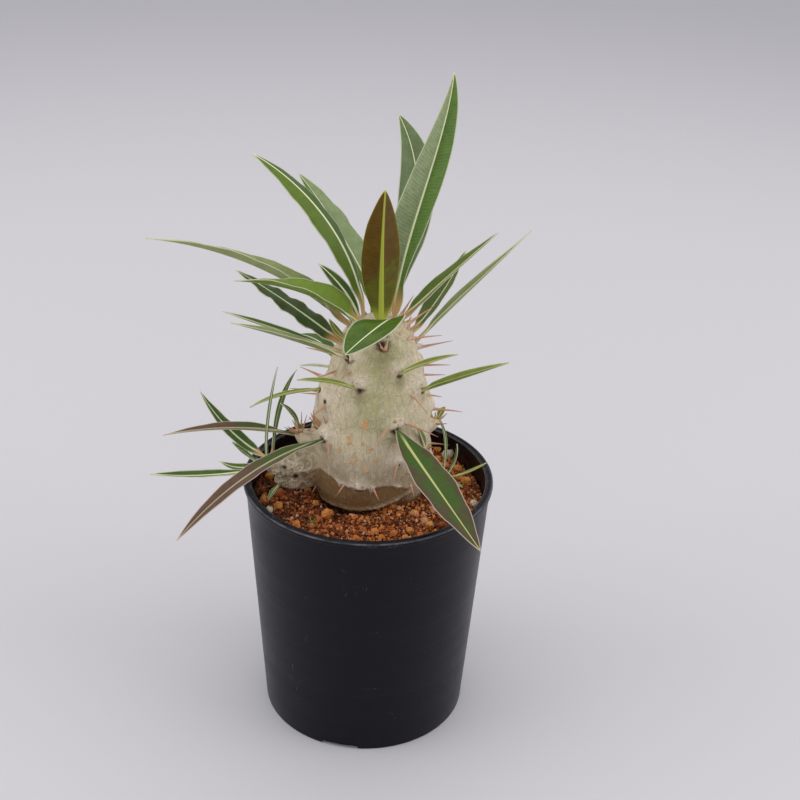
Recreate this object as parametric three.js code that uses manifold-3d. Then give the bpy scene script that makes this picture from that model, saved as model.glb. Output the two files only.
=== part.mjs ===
// A potted Pachypodium cactipes: a spiny bottle-shaped trunk with a crown of narrow
// leaves, standing in reddish grit in a black plastic nursery pot.
// Millimetres, +Z up. The origin is the centre of the pot's foot, on the surface below.
// A turn or heading is in degrees around +Z, from +X towards +Y. A rise is in degrees
// above the horizontal.

import * as THREE from 'three';
import { mergeVertices } from 'three/addons/utils/BufferGeometryUtils.js';
import Module from 'manifold-3d';

const wasm = await Module();
wasm.setup();

// Gap left between two pieces that touch.
const SEAT_GAP = 0.3;

// Nursery pot.
const POT_HEIGHT = 95.5;
const RIM_RADIUS = 45;
const RIM_BAND = 1.9;
const SHOULDER_RADIUS = 44.1;
const BASE_RADIUS = 37.6;
const POT_WALL = 1.9;
const POT_FLOOR = 1.6;
const FOOT_HEIGHT = 2;
const FOOT_WIDTH = 4;
const PAD_RADIUS = 9;
const EDGE_ROUND = 0.5;
const POT_SIDES = 48;
const DRAIN_HOLES = 8;
const DRAIN_RADIUS = 3;
const DRAIN_CIRCLE = 21;
const DRAIN_SIDES = 12;
const NOTCHES = 3;
const NOTCH_WIDTH = 14;
const NOTCH_HEIGHT = 1.5;
const NOTCH_TURN = 258;

// Grit that fills the pot.
const SOIL_LEVEL = 88.4;
const SOIL_RELIEF = 0.7;
const SOIL_RINGS = [18, 30];
// Radians per millimetre of the grit's gentle rise and fall, across and back.
const SOIL_SWELL = [0.21, 0.17];
const SOIL_SHIFT = 5;
const GRAIN_SEED = 41;
const GRAINS = 74;
const GRAIN_SPACING = 5;
const GRAIN_SMALLEST = 1.6;
const GRAIN_LARGEST = 3;
const GRAIN_ROUNDER = 2.4;
const GRAIN_TALLEST = 4;
// Least stretch of a grain along each of its axes, how much that varies, and how far the
// grain may stand up as a share of its size.
const GRAIN_STRETCH = 0.75;
const GRAIN_STRETCH_RANGE = 0.5;
const GRAIN_LIFT = 0.2;

// Trunk: its axis stands behind the pot's, and its crown leans to +X.
const TRUNK_CENTRE = [0.3, 8];
const TRUNK_LEAN = 2.7;
const TRUNK_LEAN_FROM = 115;
const TRUNK_TOP = 155;
const TRUNK_SIDES = 32;
const TRUNK_RINGS = 22;
const OUTLINE_SAMPLES = 160;
// Radius and height, from the buried root end to the top of the crown.
const TRUNK_OUTLINE = [
  [0, 74], [9, 75.5], [15.5, 80], [19.6, 86], [22, 93.5], [22.2, 101], [21.3, 110], [20.6, 119],
  [19.9, 126], [16.9, 133], [14.2, 140.5], [12.6, 147], [9.6, 151.8], [5, 154.5], [0, TRUNK_TOP],
];

// Swollen leaf scars on the trunk: turn, height, how far each stands out.
const BUMP_SPREAD = 3.2;
const BUMPS = [
  [247, 134, 1.5], [299, 139, 1.6], [329, 131, 1.6], [295, 121, 1.6], [223, 114, 1.6],
  [199, 129, 1.6], [272, 148, 1.2], [225, 142, 1.2], [218, 127, 1.4], [261, 98, 1.0],
  [355, 120, 1.4], [355, 137, 1.2], [175, 139, 1.4], [298, 107, 1.0], [340, 101, 1.2],
];

// Side shoots: the two ends in mm and the radius at each.
const SHOOTS = {
  left_upper: { from: [-15, 3, 104], to: [-24.4, 1.2, 110.6], thick: 5.6, thin: 3.1 },
  left_lower: { from: [-14, 1, 96.5], to: [-35, -4.8, 102], thick: 8, thin: 3.6 },
  left_foot: { from: [-21, -2, 95], to: [-30.4, -5, 95.6], thick: 4.6, thin: 3.2 },
  right_upper: { from: [17, 8.5, 110], to: [23, 9.2, 112.6], thick: 3.8, thin: 2.4 },
  right_lower: { from: [17, 5, 91.5], to: [28.8, 4.4, 93], thick: 3.6, thin: 2.2 },
};
const SHOOT_SIDES = 10;
const SHOOT_RINGS = 8;

const SPINE_RADIUS = 0.7;
const SPINE_ROOT = 1.5;
const SPINE_SIDES = 3;
const SPINE_SEED = 7;
// Spines that show from the front: turn, height, heading, rise, length.
const SPINES = [
  [330, 149.5, 3, 10, 12], [6, 142.6, 5, 13, 13], [353, 137.6, 359, 4, 11],
  [358, 119.6, 357, 2, 12], [317, 131.5, 310, -19, 10], [284, 141.5, 285, -4, 5],
  [218, 127, 213, -29, 10], [286, 121.8, 245, -22, 8], [304, 123, 341, -14, 13],
  [228, 113.5, 268, -18, 8], [298, 108, 260, -31, 10], [312, 97, 285, -13, 6],
  [248, 99, 244, -9, 6], [274, 99.3, 300, -28, 6], [171, 129, 151, 12, 10],
  [150, 149, 158, 24, 13], [173, 139, 156, 0, 12], [350, 152.4, 6, 42, 13],
  [179, 125, 186, 6, 10], [212, 117.5, 203, 60, 6], [221, 119, 248, 62, 6],
  [205, 136.5, 225, 1, 7], [339, 128.5, 20, -12, 7], [232, 139.5, 236, -12, 6],
];
// The rest stand in pairs on the far side, at scars spread around it by the golden section.
const REAR_SCARS = 9;
const REAR_FIRST_TURN = 30;
const REAR_LAST_TURN = 150;
const REAR_LOWEST = 97;
const REAR_HIGHEST = 146;
const REAR_BUMP = 1.3;
const PAIR_OFFSET = 6;
const PAIR_SPREAD = 38;
const PAIR_RISE = 12;
const PAIR_LENGTH = 10;
const PAIR_VARIETY = 0.2;
const GOLDEN_SECTION = 0.618;
// Short spines crowded on the ends of three shoots, and how they fan out there.
const TUFT_LOWEST = -10;
const TUFT_HIGHEST = 40;
const TUFT_OUTWARD = 0.7;
const TUFT_SEAT = 0.9;
const TUFTS = [
  { shoot: 'left_upper', spines: 9, length: 4.2 },
  { shoot: 'left_lower', spines: 6, length: 3.4 },
  { shoot: 'right_upper', spines: 4, length: 4 },
];

// Leaves.
const BLADE_EDGE = 0.75;
const BLADE_MIDDLE = 1.1;
const PETIOLE_THICK = 1.3;
const PETIOLE_SHARE = 0.06;
const PETIOLE_HALF_WIDTH = 0.8;
const TIP_HALF_WIDTH = 0.35;
const ROOT_DEPTH = 1.3;

const GREEN = { color: 0x47683a, roughness: 0.5, metalness: 0 };
const BRIGHT = { color: 0x76963a, roughness: 0.5, metalness: 0 };
const BRONZE = { color: 0x6a5a22, roughness: 0.5, metalness: 0 };
const PURPLE = { color: 0x57473f, roughness: 0.55, metalness: 0 };
const PLASTIC = { color: 0x17181c, roughness: 0.45, metalness: 0 };
const GRIT = { color: 0x9c5632, roughness: 0.95, metalness: 0 };
const BARK = { color: 0xb0a684, roughness: 0.75, metalness: 0 };

// Each leaf: where its root sits, then heading and rise at the root, how far it droops and
// sweeps sideways by the tip, its length and width, and what sets its form apart.
const LEAVES = {
  leaf_crown_tall: {
    turn: 0, height: 154.6, heading: 32, rise: 86, droop: 54, sweep: 54,
    length: 92, width: 12.3, fold: 37, roll: -3, twist: 43, widest: 0.37, full: 0.77, waves: 5,
    form: GREEN,
  },
  leaf_crown_back: {
    turn: 74, height: 153.4, heading: 40, rise: 61, droop: 19, sweep: 89,
    length: 75, width: 13, fold: 27, roll: -1, twist: -9, widest: 0.53, full: 0.76, waves: 5,
    form: GREEN,
  },
  leaf_crown_left_tall: {
    turn: 156, height: 153.8, heading: 167, rise: 85, droop: 69, sweep: -15,
    length: 72, width: 10.1, fold: -19, roll: -9, twist: -1, widest: 0.48, waves: 5, form: BRIGHT,
  },
  leaf_crown_left_back: {
    turn: 95, height: 153.8, heading: 135, rise: 54, droop: 16, sweep: 10,
    length: 57, width: 12.5, fold: 15, roll: 9, twist: -7, widest: 0.43, full: 0.71, waves: 5,
    form: GREEN,
  },
  leaf_crown_bronze: {
    turn: 272, height: 154.3, heading: 264, rise: 81, droop: 10, sweep: 14,
    length: 56, width: 13.3, fold: 14, roll: 15, twist: 2, widest: 0.48, full: 0.78, waves: 3,
    form: BRONZE,
  },
  leaf_crown_left_small: {
    turn: 187, height: 153.4, heading: 171, rise: 76, droop: 63, sweep: -37,
    length: 26, width: 4.5, fold: 16, roll: -36, twist: -9, widest: 0.49, waves: 2, form: GREEN,
  },
  leaf_crown_left_arched: {
    turn: 216, height: 153, heading: 205, rise: 50, droop: 50, sweep: -22,
    length: 50, width: 13.2, fold: 26, roll: -31, twist: 64, widest: 0.32, full: 1.15, waves: 4,
    form: BRIGHT,
  },
  leaf_crown_left_long: {
    turn: 182, height: 151, heading: 181, rise: 45, droop: 43, sweep: -3,
    length: 78, width: 9.1, fold: 34, roll: -15, twist: 57, widest: 0.3, full: 1.31, waves: 5,
    form: GREEN,
  },
  leaf_crown_front: {
    turn: 282, height: 151.6, heading: 295, rise: 65, droop: 101, sweep: -83,
    length: 46, width: 16.1, fold: 9, roll: 24, twist: -22, widest: 0.7, full: 0.65, waves: 2,
    form: GREEN,
  },
  leaf_crown_right: {
    turn: 12, height: 153.4, heading: 16, rise: 43, droop: 5, sweep: 6,
    length: 45, width: 7.3, fold: 18, roll: 7, twist: -26, widest: 0.39, waves: 3, form: GREEN,
  },
  leaf_right_dark: {
    turn: 18, height: 147.6, heading: 48, rise: 29, droop: -8, sweep: 14,
    length: 38, width: 8.7, fold: 16, roll: -16, twist: -11, widest: 0.43, waves: 3, form: GREEN,
  },
  leaf_right_long: {
    turn: 358, height: 146, heading: 5, rise: 49, droop: 14, sweep: 29,
    length: 56, width: 3.2, fold: 44, roll: 2, widest: 0.39, full: 1.35, waves: 3, form: GREEN,
  },
  leaf_left_dark: {
    turn: 192, height: 145.6, heading: 156, rise: 29, droop: 9, sweep: 1,
    length: 46, width: 9.9, fold: -1, roll: -10, twist: 17, widest: 0.38, full: 0.71, waves: 5,
    form: GREEN,
  },
  leaf_left_tiny: {
    turn: 204, height: 147.8, heading: 151, rise: 26, droop: -16, sweep: -22,
    length: 10, width: 2.5, fold: 7, roll: -7, twist: -4, waves: 1, form: GREEN,
  },
  leaf_left_narrow: {
    turn: 203, height: 143.4, heading: 184, rise: 21, droop: 1, sweep: -2,
    length: 44, width: 3.5, fold: 25, roll: 4, twist: -5, widest: 0.52, full: 1.09, waves: 3,
    form: GREEN,
  },
  leaf_left_narrow_low: {
    turn: 220, height: 143, heading: 195, rise: 27, droop: 10, sweep: -6,
    length: 43, width: 5.9, fold: 21, roll: 23, twist: -19, widest: 0.47, full: 1.21, waves: 3,
    form: BRIGHT,
  },
  leaf_trunk_right_high: {
    turn: 299, height: 139, heading: 346, rise: 35, droop: 21, sweep: 20,
    length: 23, width: 2.2, fold: 37, roll: 16, twist: 5, waves: 2, form: GREEN,
  },
  leaf_trunk_right_low: {
    turn: 329, height: 131, heading: 348, rise: 26, droop: 3, sweep: 12,
    length: 34, width: 3.2, fold: 43, roll: 4, twist: 2, widest: 0.43, waves: 2, form: GREEN,
  },
  leaf_trunk_front: {
    turn: 247, height: 134.5, heading: 211, rise: 29, droop: 20, sweep: -12,
    length: 23, width: 3.1, fold: 18, roll: -9, widest: 0.48, waves: 1, form: GREEN,
  },
  leaf_trunk_left: {
    turn: 199, height: 129, heading: 194, rise: 5, droop: 34, sweep: -7,
    length: 27, width: 2.1, fold: 23, roll: -5, waves: 2, form: BRIGHT,
  },
  leaf_trunk_left_stub: {
    turn: 184, height: 135.5, heading: 179, rise: 7, droop: 16, sweep: -5,
    length: 11, width: 1.2, fold: 10, waves: 1, form: GREEN,
  },
  leaf_trunk_low: {
    turn: 337, height: 107, heading: 255, rise: 59, droop: 4, sweep: -10,
    length: 19, width: 2.8, fold: 20, waves: 1, form: GREEN,
  },
  leaf_droop_right: {
    turn: 295, height: 121, heading: 301, rise: -18, droop: 18, sweep: 15,
    length: 54, width: 14, fold: 10, waves: 4, form: PURPLE,
  },
  leaf_droop_left: {
    turn: 223, height: 113.4, heading: 220, rise: 6, droop: 39, sweep: 6,
    length: 67, width: 6.1, fold: 17, roll: 11, twist: -42, widest: 0.42, full: 0.76, waves: 5,
    form: PURPLE,
  },
  leaf_rear_left: {
    turn: 128, height: 127, heading: 122, rise: 22, droop: 40, sweep: 10,
    length: 30, width: 6.5, fold: 20, waves: 2, form: GREEN,
  },
  leaf_rear_middle: {
    turn: 88, height: 137, heading: 92, rise: 28, droop: 30, sweep: -8,
    length: 38, width: 8, fold: 18, waves: 3, form: GREEN,
  },
  leaf_rear_right: {
    turn: 66, height: 121, heading: 96, rise: 15, droop: 35, sweep: -4,
    length: 32, width: 7, fold: 18, waves: 3, form: PURPLE,
  },
  leaf_shoot_purple: {
    shoot: 'left_upper', aim: [188, 10], heading: 194, rise: 17, droop: 24, sweep: -1,
    length: 46, width: 5, fold: 28, roll: -8, twist: 4, widest: 0.42, full: 1.15, waves: 4,
    form: PURPLE,
  },
  leaf_shoot_hook: {
    shoot: 'left_upper', aim: [120, 60], heading: 150, rise: 68, droop: 40, sweep: 20,
    length: 11, width: 2.6, fold: 10, waves: 1, form: GREEN,
  },
  leaf_shoot_broad: {
    shoot: 'left_lower', aim: [150, 35], heading: 154, rise: 16, droop: -43, sweep: 3,
    length: 33, width: 6.5, fold: 9, roll: -6, twist: 10, widest: 0.39, waves: 3, form: GREEN,
  },
  leaf_shoot_bud: {
    shoot: 'left_lower', aim: [212, 10], heading: 169, rise: 27, droop: -12, sweep: -9,
    length: 13, width: 2.6, fold: 14, widest: 0.56, waves: 1, form: GREEN,
  },
  leaf_shoot_level: {
    shoot: 'left_lower', aim: [205, -30], heading: 186, rise: -11, droop: -15, sweep: -7,
    length: 40, width: 4.3, fold: 25, roll: -3, twist: -3, widest: 0.54, waves: 3, form: GREEN,
  },
  leaf_shoot_short: {
    shoot: 'left_lower', aim: [150, -15], heading: 171, rise: -38, droop: -54, sweep: -20,
    length: 18, width: 3.8, fold: 15, roll: -9, twist: -2, widest: 0.49, full: 0.92, waves: 1,
    form: GREEN,
  },
  leaf_shoot_upright_left: {
    shoot: 'left_lower', aim: [235, 60], heading: 170, rise: 89, droop: -16, sweep: 0,
    length: 37, width: 1.8, fold: 20, waves: 2, form: GREEN,
  },
  leaf_shoot_upright_right: {
    shoot: 'left_lower', aim: [75, 35], heading: 90, rise: 65, droop: 38, sweep: -33,
    length: 33, width: 2.1, fold: 20, roll: 40, widest: 0.51, waves: 2, form: GREEN,
  },
  leaf_shoot_foot: {
    shoot: 'left_foot', aim: [250, -10], heading: 232, rise: -12, droop: 36, sweep: 4,
    length: 7.5, width: 2, fold: 14, waves: 1, form: GREEN,
  },
  leaf_right_shoot_strand: {
    shoot: 'right_lower', aim: [200, 25], heading: 72, rise: 62, droop: 56, sweep: 50,
    length: 27, width: 1.2, fold: 20, waves: 1, form: GREEN,
  },
  leaf_right_shoot_hook: {
    shoot: 'right_lower', aim: [60, 68], heading: 41, rise: 45, droop: -58, sweep: -7,
    length: 11.3, width: 1.4, fold: 20, waves: 1, form: GREEN,
  },
  leaf_right_shoot_side: {
    shoot: 'right_lower', aim: [2, 8], heading: 4, rise: 16, droop: -14, sweep: 14,
    length: 13, width: 1.5, fold: 20, waves: 1, form: GREEN,
  },
  leaf_right_shoot_low: {
    shoot: 'right_lower', aim: [295, -14], heading: 318, rise: 17, droop: 33, sweep: 1,
    length: 6, width: 1.5, fold: 14, waves: 1, form: GREEN,
  },
  leaf_right_bud: {
    shoot: 'right_upper', aim: [25, 45], heading: 48, rise: 60, droop: 30, sweep: 0,
    length: 5, width: 2.8, fold: 14, waves: 1, form: GREEN,
  },
};
// How fully a blade is split: steps along it, and cells from edge to edge.
const STEPS_PER_WAVE = 3;
const FEWEST_STEPS = 6;
const BROAD_BLADE = 8;
const BROAD_CELLS = 4;
const NARROW_CELLS = 2;
const MIDRIB_FINE = 4;
const WAVE_HEIGHT = 0.03;
// Radians by which the waves of one margin run ahead of the other's, and how fast the waves
// fade at the tip.
const WAVE_LEAD = 1;
const WAVE_FADE = 3;
// How full a blade's outline is towards both ends.
const FULLNESS = 0.85;

// Distance below which two vertices are one.
const WELD = 1e-5;
const DICE = { multiplier: 1664525, increment: 1013904223, range: 2 ** 32 };

const radians = THREE.MathUtils.degToRad;

// Direction of a heading and a rise.
function aimed(heading, rise) {
  const level = Math.cos(radians(rise));
  return new THREE.Vector3(
    level * Math.cos(radians(heading)),
    level * Math.sin(radians(heading)),
    Math.sin(radians(rise)),
  );
}

// Repeatable random numbers from 0 to 1.
function dice(seed) {
  let state = seed;
  return () => {
    state = (state * DICE.multiplier + DICE.increment) % DICE.range;
    return state / DICE.range;
  };
}

function solid(geometry) {
  const bare = geometry.clone();
  bare.deleteAttribute('normal');
  bare.deleteAttribute('uv');
  const merged = mergeVertices(bare, WELD);
  const sheet = new wasm.Mesh({
    numProp: 3,
    vertProperties: Float32Array.from(merged.attributes.position.array),
    triVerts: Uint32Array.from(merged.index.array),
  });
  sheet.merge();
  return new wasm.Manifold(sheet);
}

function surface(body) {
  const sheet = body.getMesh();
  const geometry = new THREE.BufferGeometry();
  const positions = Float32Array.from(sheet.vertProperties);
  geometry.setAttribute('position', new THREE.BufferAttribute(positions, 3));
  geometry.setIndex(Array.from(sheet.triVerts));
  geometry.computeVertexNormals();
  return geometry;
}

function named(name, body, finish) {
  const mesh = new THREE.Mesh(surface(body), new THREE.MeshStandardMaterial(finish));
  mesh.name = name;
  return mesh;
}

// A profile of radius and height turned around +Z.
function turned(points, sides) {
  const profile = points.map(([radius, height]) => new THREE.Vector2(radius, height));
  return new THREE.LatheGeometry(profile, sides).rotateX(Math.PI / 2);
}

function potWallRadius(height) {
  const share = height / (POT_HEIGHT - RIM_BAND);
  return THREE.MathUtils.lerp(BASE_RADIUS, SHOULDER_RADIUS, Math.min(share, 1));
}

// Inside radius of the pot at a height.
function potBore(height) {
  return potWallRadius(height) - POT_WALL;
}

function pot() {
  const floorTop = FOOT_HEIGHT + POT_FLOOR;
  const bandFoot = POT_HEIGHT - RIM_BAND;
  const lipInside = potBore(POT_HEIGHT);
  const shell = solid(turned([
    [0, 0],
    [PAD_RADIUS, 0],
    [PAD_RADIUS + EDGE_ROUND, FOOT_HEIGHT],
    [BASE_RADIUS - FOOT_WIDTH - EDGE_ROUND, FOOT_HEIGHT],
    [BASE_RADIUS - FOOT_WIDTH, 0],
    [BASE_RADIUS - EDGE_ROUND, 0],
    [BASE_RADIUS, EDGE_ROUND],
    [SHOULDER_RADIUS, bandFoot],
    [RIM_RADIUS, bandFoot + EDGE_ROUND],
    [RIM_RADIUS, POT_HEIGHT - EDGE_ROUND],
    [RIM_RADIUS - EDGE_ROUND, POT_HEIGHT],
    [lipInside + EDGE_ROUND, POT_HEIGHT],
    [lipInside, POT_HEIGHT - EDGE_ROUND],
    [potBore(floorTop), floorTop],
    [0, floorTop],
  ], POT_SIDES));

  const drain = new THREE.CylinderGeometry(
    DRAIN_RADIUS, DRAIN_RADIUS, POT_FLOOR + 2 * FOOT_HEIGHT, DRAIN_SIDES,
  ).rotateX(Math.PI / 2).translate(DRAIN_CIRCLE, 0, FOOT_HEIGHT + POT_FLOOR / 2);
  const notch = new THREE.BoxGeometry(
    2 * FOOT_WIDTH, NOTCH_WIDTH, 2 * NOTCH_HEIGHT,
  ).translate(BASE_RADIUS - FOOT_WIDTH / 2, 0, 0);
  let body = shell;
  for (let i = 0; i < DRAIN_HOLES; i += 1) {
    const turn = 2 * Math.PI * (i + 0.5) / DRAIN_HOLES;
    body = body.subtract(solid(drain.clone().rotateZ(turn)));
  }
  for (let i = 0; i < NOTCHES; i += 1) {
    const turn = radians(NOTCH_TURN) + 2 * Math.PI * i / NOTCHES;
    body = body.subtract(solid(notch.clone().rotateZ(turn)));
  }
  return body;
}

const trunkOutline = new THREE.SplineCurve(
  TRUNK_OUTLINE.map(([radius, height]) => new THREE.Vector2(radius, height)),
);

// Smooth radius of the trunk at a height, without its scars.
function trunkRadius(height) {
  const points = trunkOutline.getSpacedPoints(OUTLINE_SAMPLES);
  const above = Math.max(points.findIndex((point) => point.y >= height), 1);
  const [low, high] = [points[above - 1], points[above]];
  return THREE.MathUtils.mapLinear(height, low.y, high.y, low.x, high.x);
}

function trunkAxis(height) {
  const share = Math.max(0, height - TRUNK_LEAN_FROM) / (TRUNK_TOP - TRUNK_LEAN_FROM);
  return new THREE.Vector3(TRUNK_CENTRE[0] + TRUNK_LEAN * share, TRUNK_CENTRE[1], height);
}

function onTrunk(turn, height) {
  return trunkAxis(height).addScaledVector(aimed(turn, 0), trunkRadius(height));
}

const rearScars = Array.from({ length: REAR_SCARS }, (_, i) => {
  const share = (i + 0.5) / REAR_SCARS;
  const span = REAR_LAST_TURN - REAR_FIRST_TURN;
  return {
    turn: REAR_FIRST_TURN + ((i * GOLDEN_SECTION) % 1) * span,
    height: THREE.MathUtils.lerp(REAR_LOWEST, REAR_HIGHEST, share),
  };
});

const bumps = [
  ...BUMPS.map(([turn, height, stand]) => ({ centre: onTrunk(turn, height), stand })),
  ...rearScars.map(({ turn, height }) => ({ centre: onTrunk(turn, height), stand: REAR_BUMP })),
];

// A sphere whose rings follow the outline, pushed out at each scar.
function trunkBody(grow) {
  const shape = new THREE.SphereGeometry(1, TRUNK_SIDES, TRUNK_RINGS).rotateX(Math.PI / 2);
  const place = shape.attributes.position;
  const point = new THREE.Vector3();
  const spot = new THREE.Vector2();
  for (let i = 0; i < place.count; i += 1) {
    point.fromBufferAttribute(place, i);
    const up = 1 - Math.acos(THREE.MathUtils.clamp(point.z, -1, 1)) / Math.PI;
    const turn = Math.atan2(point.y, point.x);
    trunkOutline.getPointAt(up, spot);
    const level = Math.hypot(point.x, point.y);
    const out = new THREE.Vector3(Math.cos(turn), Math.sin(turn), 0);
    const skin = trunkAxis(spot.y + grow * point.z);
    if (level > WELD) {
      skin.addScaledVector(out, spot.x + grow * level);
      for (const { centre, stand } of bumps) {
        const away = skin.distanceTo(centre) / BUMP_SPREAD;
        skin.addScaledVector(out, stand * Math.exp(-away * away));
      }
    }
    place.setXYZ(i, skin.x, skin.y, skin.z);
  }
  return solid(shape);
}

// A tapering rounded knob from one end to the other.
function shootBody({ from, to, thick, thin }, grow) {
  const [start, end] = [new THREE.Vector3(...from), new THREE.Vector3(...to)];
  const shape = new THREE.SphereGeometry(1, SHOOT_SIDES, SHOOT_RINGS).rotateX(Math.PI / 2);
  const place = shape.attributes.position;
  const along = end.clone().sub(start).normalize();
  const upright = new THREE.Quaternion().setFromUnitVectors(new THREE.Vector3(0, 0, 1), along);
  const point = new THREE.Vector3();
  for (let i = 0; i < place.count; i += 1) {
    point.fromBufferAttribute(place, i);
    const share = (point.z + 1) / 2;
    const radius = THREE.MathUtils.lerp(thick, thin, share) + grow;
    const centre = start.clone().lerp(end, share);
    const offset = point.multiplyScalar(radius).applyQuaternion(upright);
    place.setXYZ(i, centre.x + offset.x, centre.y + offset.y, centre.z + offset.z);
  }
  return solid(shape);
}

function plantCore(grow = 0) {
  return Object.values(SHOOTS).reduce(
    (body, shoot) => body.add(shootBody(shoot, grow)),
    trunkBody(grow),
  );
}

function spine(root, direction, length) {
  const cone = new THREE.ConeGeometry(SPINE_RADIUS, length + SPINE_ROOT, SPINE_SIDES, 1);
  cone.translate(0, (length + SPINE_ROOT) / 2 - SPINE_ROOT, 0);
  const lie = new THREE.Quaternion().setFromUnitVectors(new THREE.Vector3(0, 1, 0), direction);
  cone.applyQuaternion(lie).translate(root.x, root.y, root.z);
  return solid(cone);
}

function spines() {
  const roll = dice(SPINE_SEED);
  const between = (low, high) => THREE.MathUtils.lerp(low, high, roll());
  const varied = (size) => size * between(1 - PAIR_VARIETY, 1 + PAIR_VARIETY);
  const made = SPINES.map(([turn, height, heading, rise, length]) => (
    spine(onTrunk(turn, height), aimed(heading, rise), length)
  ));
  for (const { turn, height } of rearScars) {
    for (const side of [-1, 1]) {
      const root = onTrunk(turn + side * PAIR_OFFSET, height);
      const direction = aimed(turn + side * varied(PAIR_SPREAD), between(-PAIR_RISE, PAIR_RISE));
      made.push(spine(root, direction, varied(PAIR_LENGTH)));
    }
  }
  for (const { shoot, spines: count, length } of TUFTS) {
    const { from, to, thin } = SHOOTS[shoot];
    const end = new THREE.Vector3(...to);
    const outward = end.clone().sub(new THREE.Vector3(...from)).normalize();
    for (let i = 0; i < count; i += 1) {
      const lean = aimed(360 * (i + PAIR_VARIETY * roll()) / count, between(TUFT_LOWEST, TUFT_HIGHEST));
      const direction = outward.clone().multiplyScalar(TUFT_OUTWARD).add(lean).normalize();
      const root = end.clone().addScaledVector(direction, thin * TUFT_SEAT);
      made.push(spine(root, direction, length));
    }
  }
  return made;
}

// Root point of a leaf, on the trunk or on a shoot's rounded end.
function leafSeat({ turn, height, shoot, aim }) {
  if (!shoot) return onTrunk(turn, height);
  const { to, thin } = SHOOTS[shoot];
  return new THREE.Vector3(...to).addScaledVector(aimed(...aim), thin);
}

// Midrib of a leaf: its point, direction, side and upper face at each step.
function midrib(leaf, steps, start, end) {
  const { heading, rise, droop, sweep, roll = 0, twist = 0 } = leaf;
  const frames = [];
  const strides = steps * MIDRIB_FINE;
  const stride = (end - start) / strides;
  const pose = (reach) => {
    const share = Math.max(reach, 0) / leaf.length;
    const ahead = aimed(heading + sweep * share, rise - droop * share);
    const side = aimed(heading + sweep * share - 90, 0)
      .applyAxisAngle(ahead, radians(roll + twist * share));
    return { ahead, side, face: side.clone().cross(ahead) };
  };
  const point = leafSeat(leaf).addScaledVector(pose(0).ahead, start);
  for (let i = 0; i <= strides; i += 1) {
    const reach = start + i * stride;
    if (i % MIDRIB_FINE === 0) frames.push({ point: point.clone(), reach, ...pose(reach) });
    point.addScaledVector(pose(reach + stride / 2).ahead, stride);
  }
  return frames;
}

// Half the blade's width at a share of its length.
function halfWidth({ width, widest = 0.5, full = FULLNESS }, share) {
  const skew = Math.log(0.5) / Math.log(widest);
  const bulge = Math.sin(Math.PI * Math.pow(THREE.MathUtils.clamp(share, 0, 1), skew));
  const blade = (width / 2) * Math.pow(Math.max(bulge, 0), full);
  const stalk = share < widest ? Math.min(PETIOLE_HALF_WIDTH, width / 4) : TIP_HALF_WIDTH;
  return Math.max(blade, stalk);
}

// Closes a sheet and its underside, both split alike, with a strip around the edge.
function thickened(sheet, upper, lower) {
  const faces = Array.from(sheet.index.array);
  const count = upper.length;
  const open = new Map();
  for (let i = 0; i < faces.length; i += 3) {
    for (let k = 0; k < 3; k += 1) {
      const [a, b] = [faces[i + k], faces[i + (k + 1) % 3]];
      if (!open.delete(`${b} ${a}`)) open.set(`${a} ${b}`, [a, b]);
    }
  }
  const index = [...faces];
  for (let i = 0; i < faces.length; i += 3) {
    index.push(faces[i] + count, faces[i + 2] + count, faces[i + 1] + count);
  }
  for (const [a, b] of open.values()) {
    index.push(b, a, a + count, b, a + count, b + count);
  }
  const geometry = new THREE.BufferGeometry();
  const places = [...upper, ...lower].flatMap((point) => point.toArray());
  geometry.setAttribute('position', new THREE.Float32BufferAttribute(places, 3));
  geometry.setIndex(index);
  return geometry;
}

function blade(leaf, grow) {
  const steps = Math.max(FEWEST_STEPS, STEPS_PER_WAVE * leaf.waves);
  const cells = leaf.width >= BROAD_BLADE ? BROAD_CELLS : NARROW_CELLS;
  const sheet = new THREE.PlaneGeometry(2, 2, steps, cells);
  const frames = midrib(leaf, steps, -ROOT_DEPTH - grow, leaf.length + grow);
  const place = sheet.attributes.position;
  const upper = [];
  const lower = [];
  for (let i = 0; i < place.count; i += 1) {
    const step = Math.round((place.getX(i) + 1) / 2 * steps);
    const across = place.getY(i);
    const { point, side, face, reach } = frames[step];
    const share = reach / leaf.length;
    const half = halfWidth(leaf, share) + grow;
    const spread = THREE.MathUtils.smoothstep(share, PETIOLE_SHARE, 3 * PETIOLE_SHARE);
    const ripple = Math.sin(2 * Math.PI * leaf.waves * share + (across > 0 ? WAVE_LEAD : 0));
    const fade = Math.min(1, WAVE_FADE * (1 - share));
    const wave = ripple * fade * WAVE_HEIGHT * leaf.width * across * across;
    const lift = spread * (half * Math.abs(across) * Math.tan(radians(leaf.fold)) + wave);
    const middle = THREE.MathUtils.lerp(PETIOLE_THICK, BLADE_MIDDLE, spread);
    const margin = THREE.MathUtils.lerp(PETIOLE_THICK, BLADE_EDGE, spread);
    const thick = THREE.MathUtils.lerp(middle, margin, Math.min(1, 2 * Math.abs(across)));
    const top = point.clone().addScaledVector(side, -across * half).addScaledVector(face, lift);
    upper.push(top.clone().addScaledVector(face, grow + PETIOLE_THICK / 2));
    lower.push(top.addScaledVector(face, PETIOLE_THICK / 2 - thick - grow));
  }
  return solid(thickened(sheet, upper, lower));
}

// The space that the leaves take, with the seat gap all round.
function foliageRoom() {
  const [first, ...others] = Object.values(LEAVES).map((leaf) => blade(leaf, SEAT_GAP));
  return others.reduce((room, leaf) => room.add(leaf), first);
}

// The core with a socket for each stalk, and every spine that runs into no leaf.
function trunk() {
  const room = foliageRoom();
  return spines()
    .filter((thorn) => thorn.intersect(room).isEmpty())
    .reduce((body, thorn) => body.add(thorn), plantCore().subtract(room));
}

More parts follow.
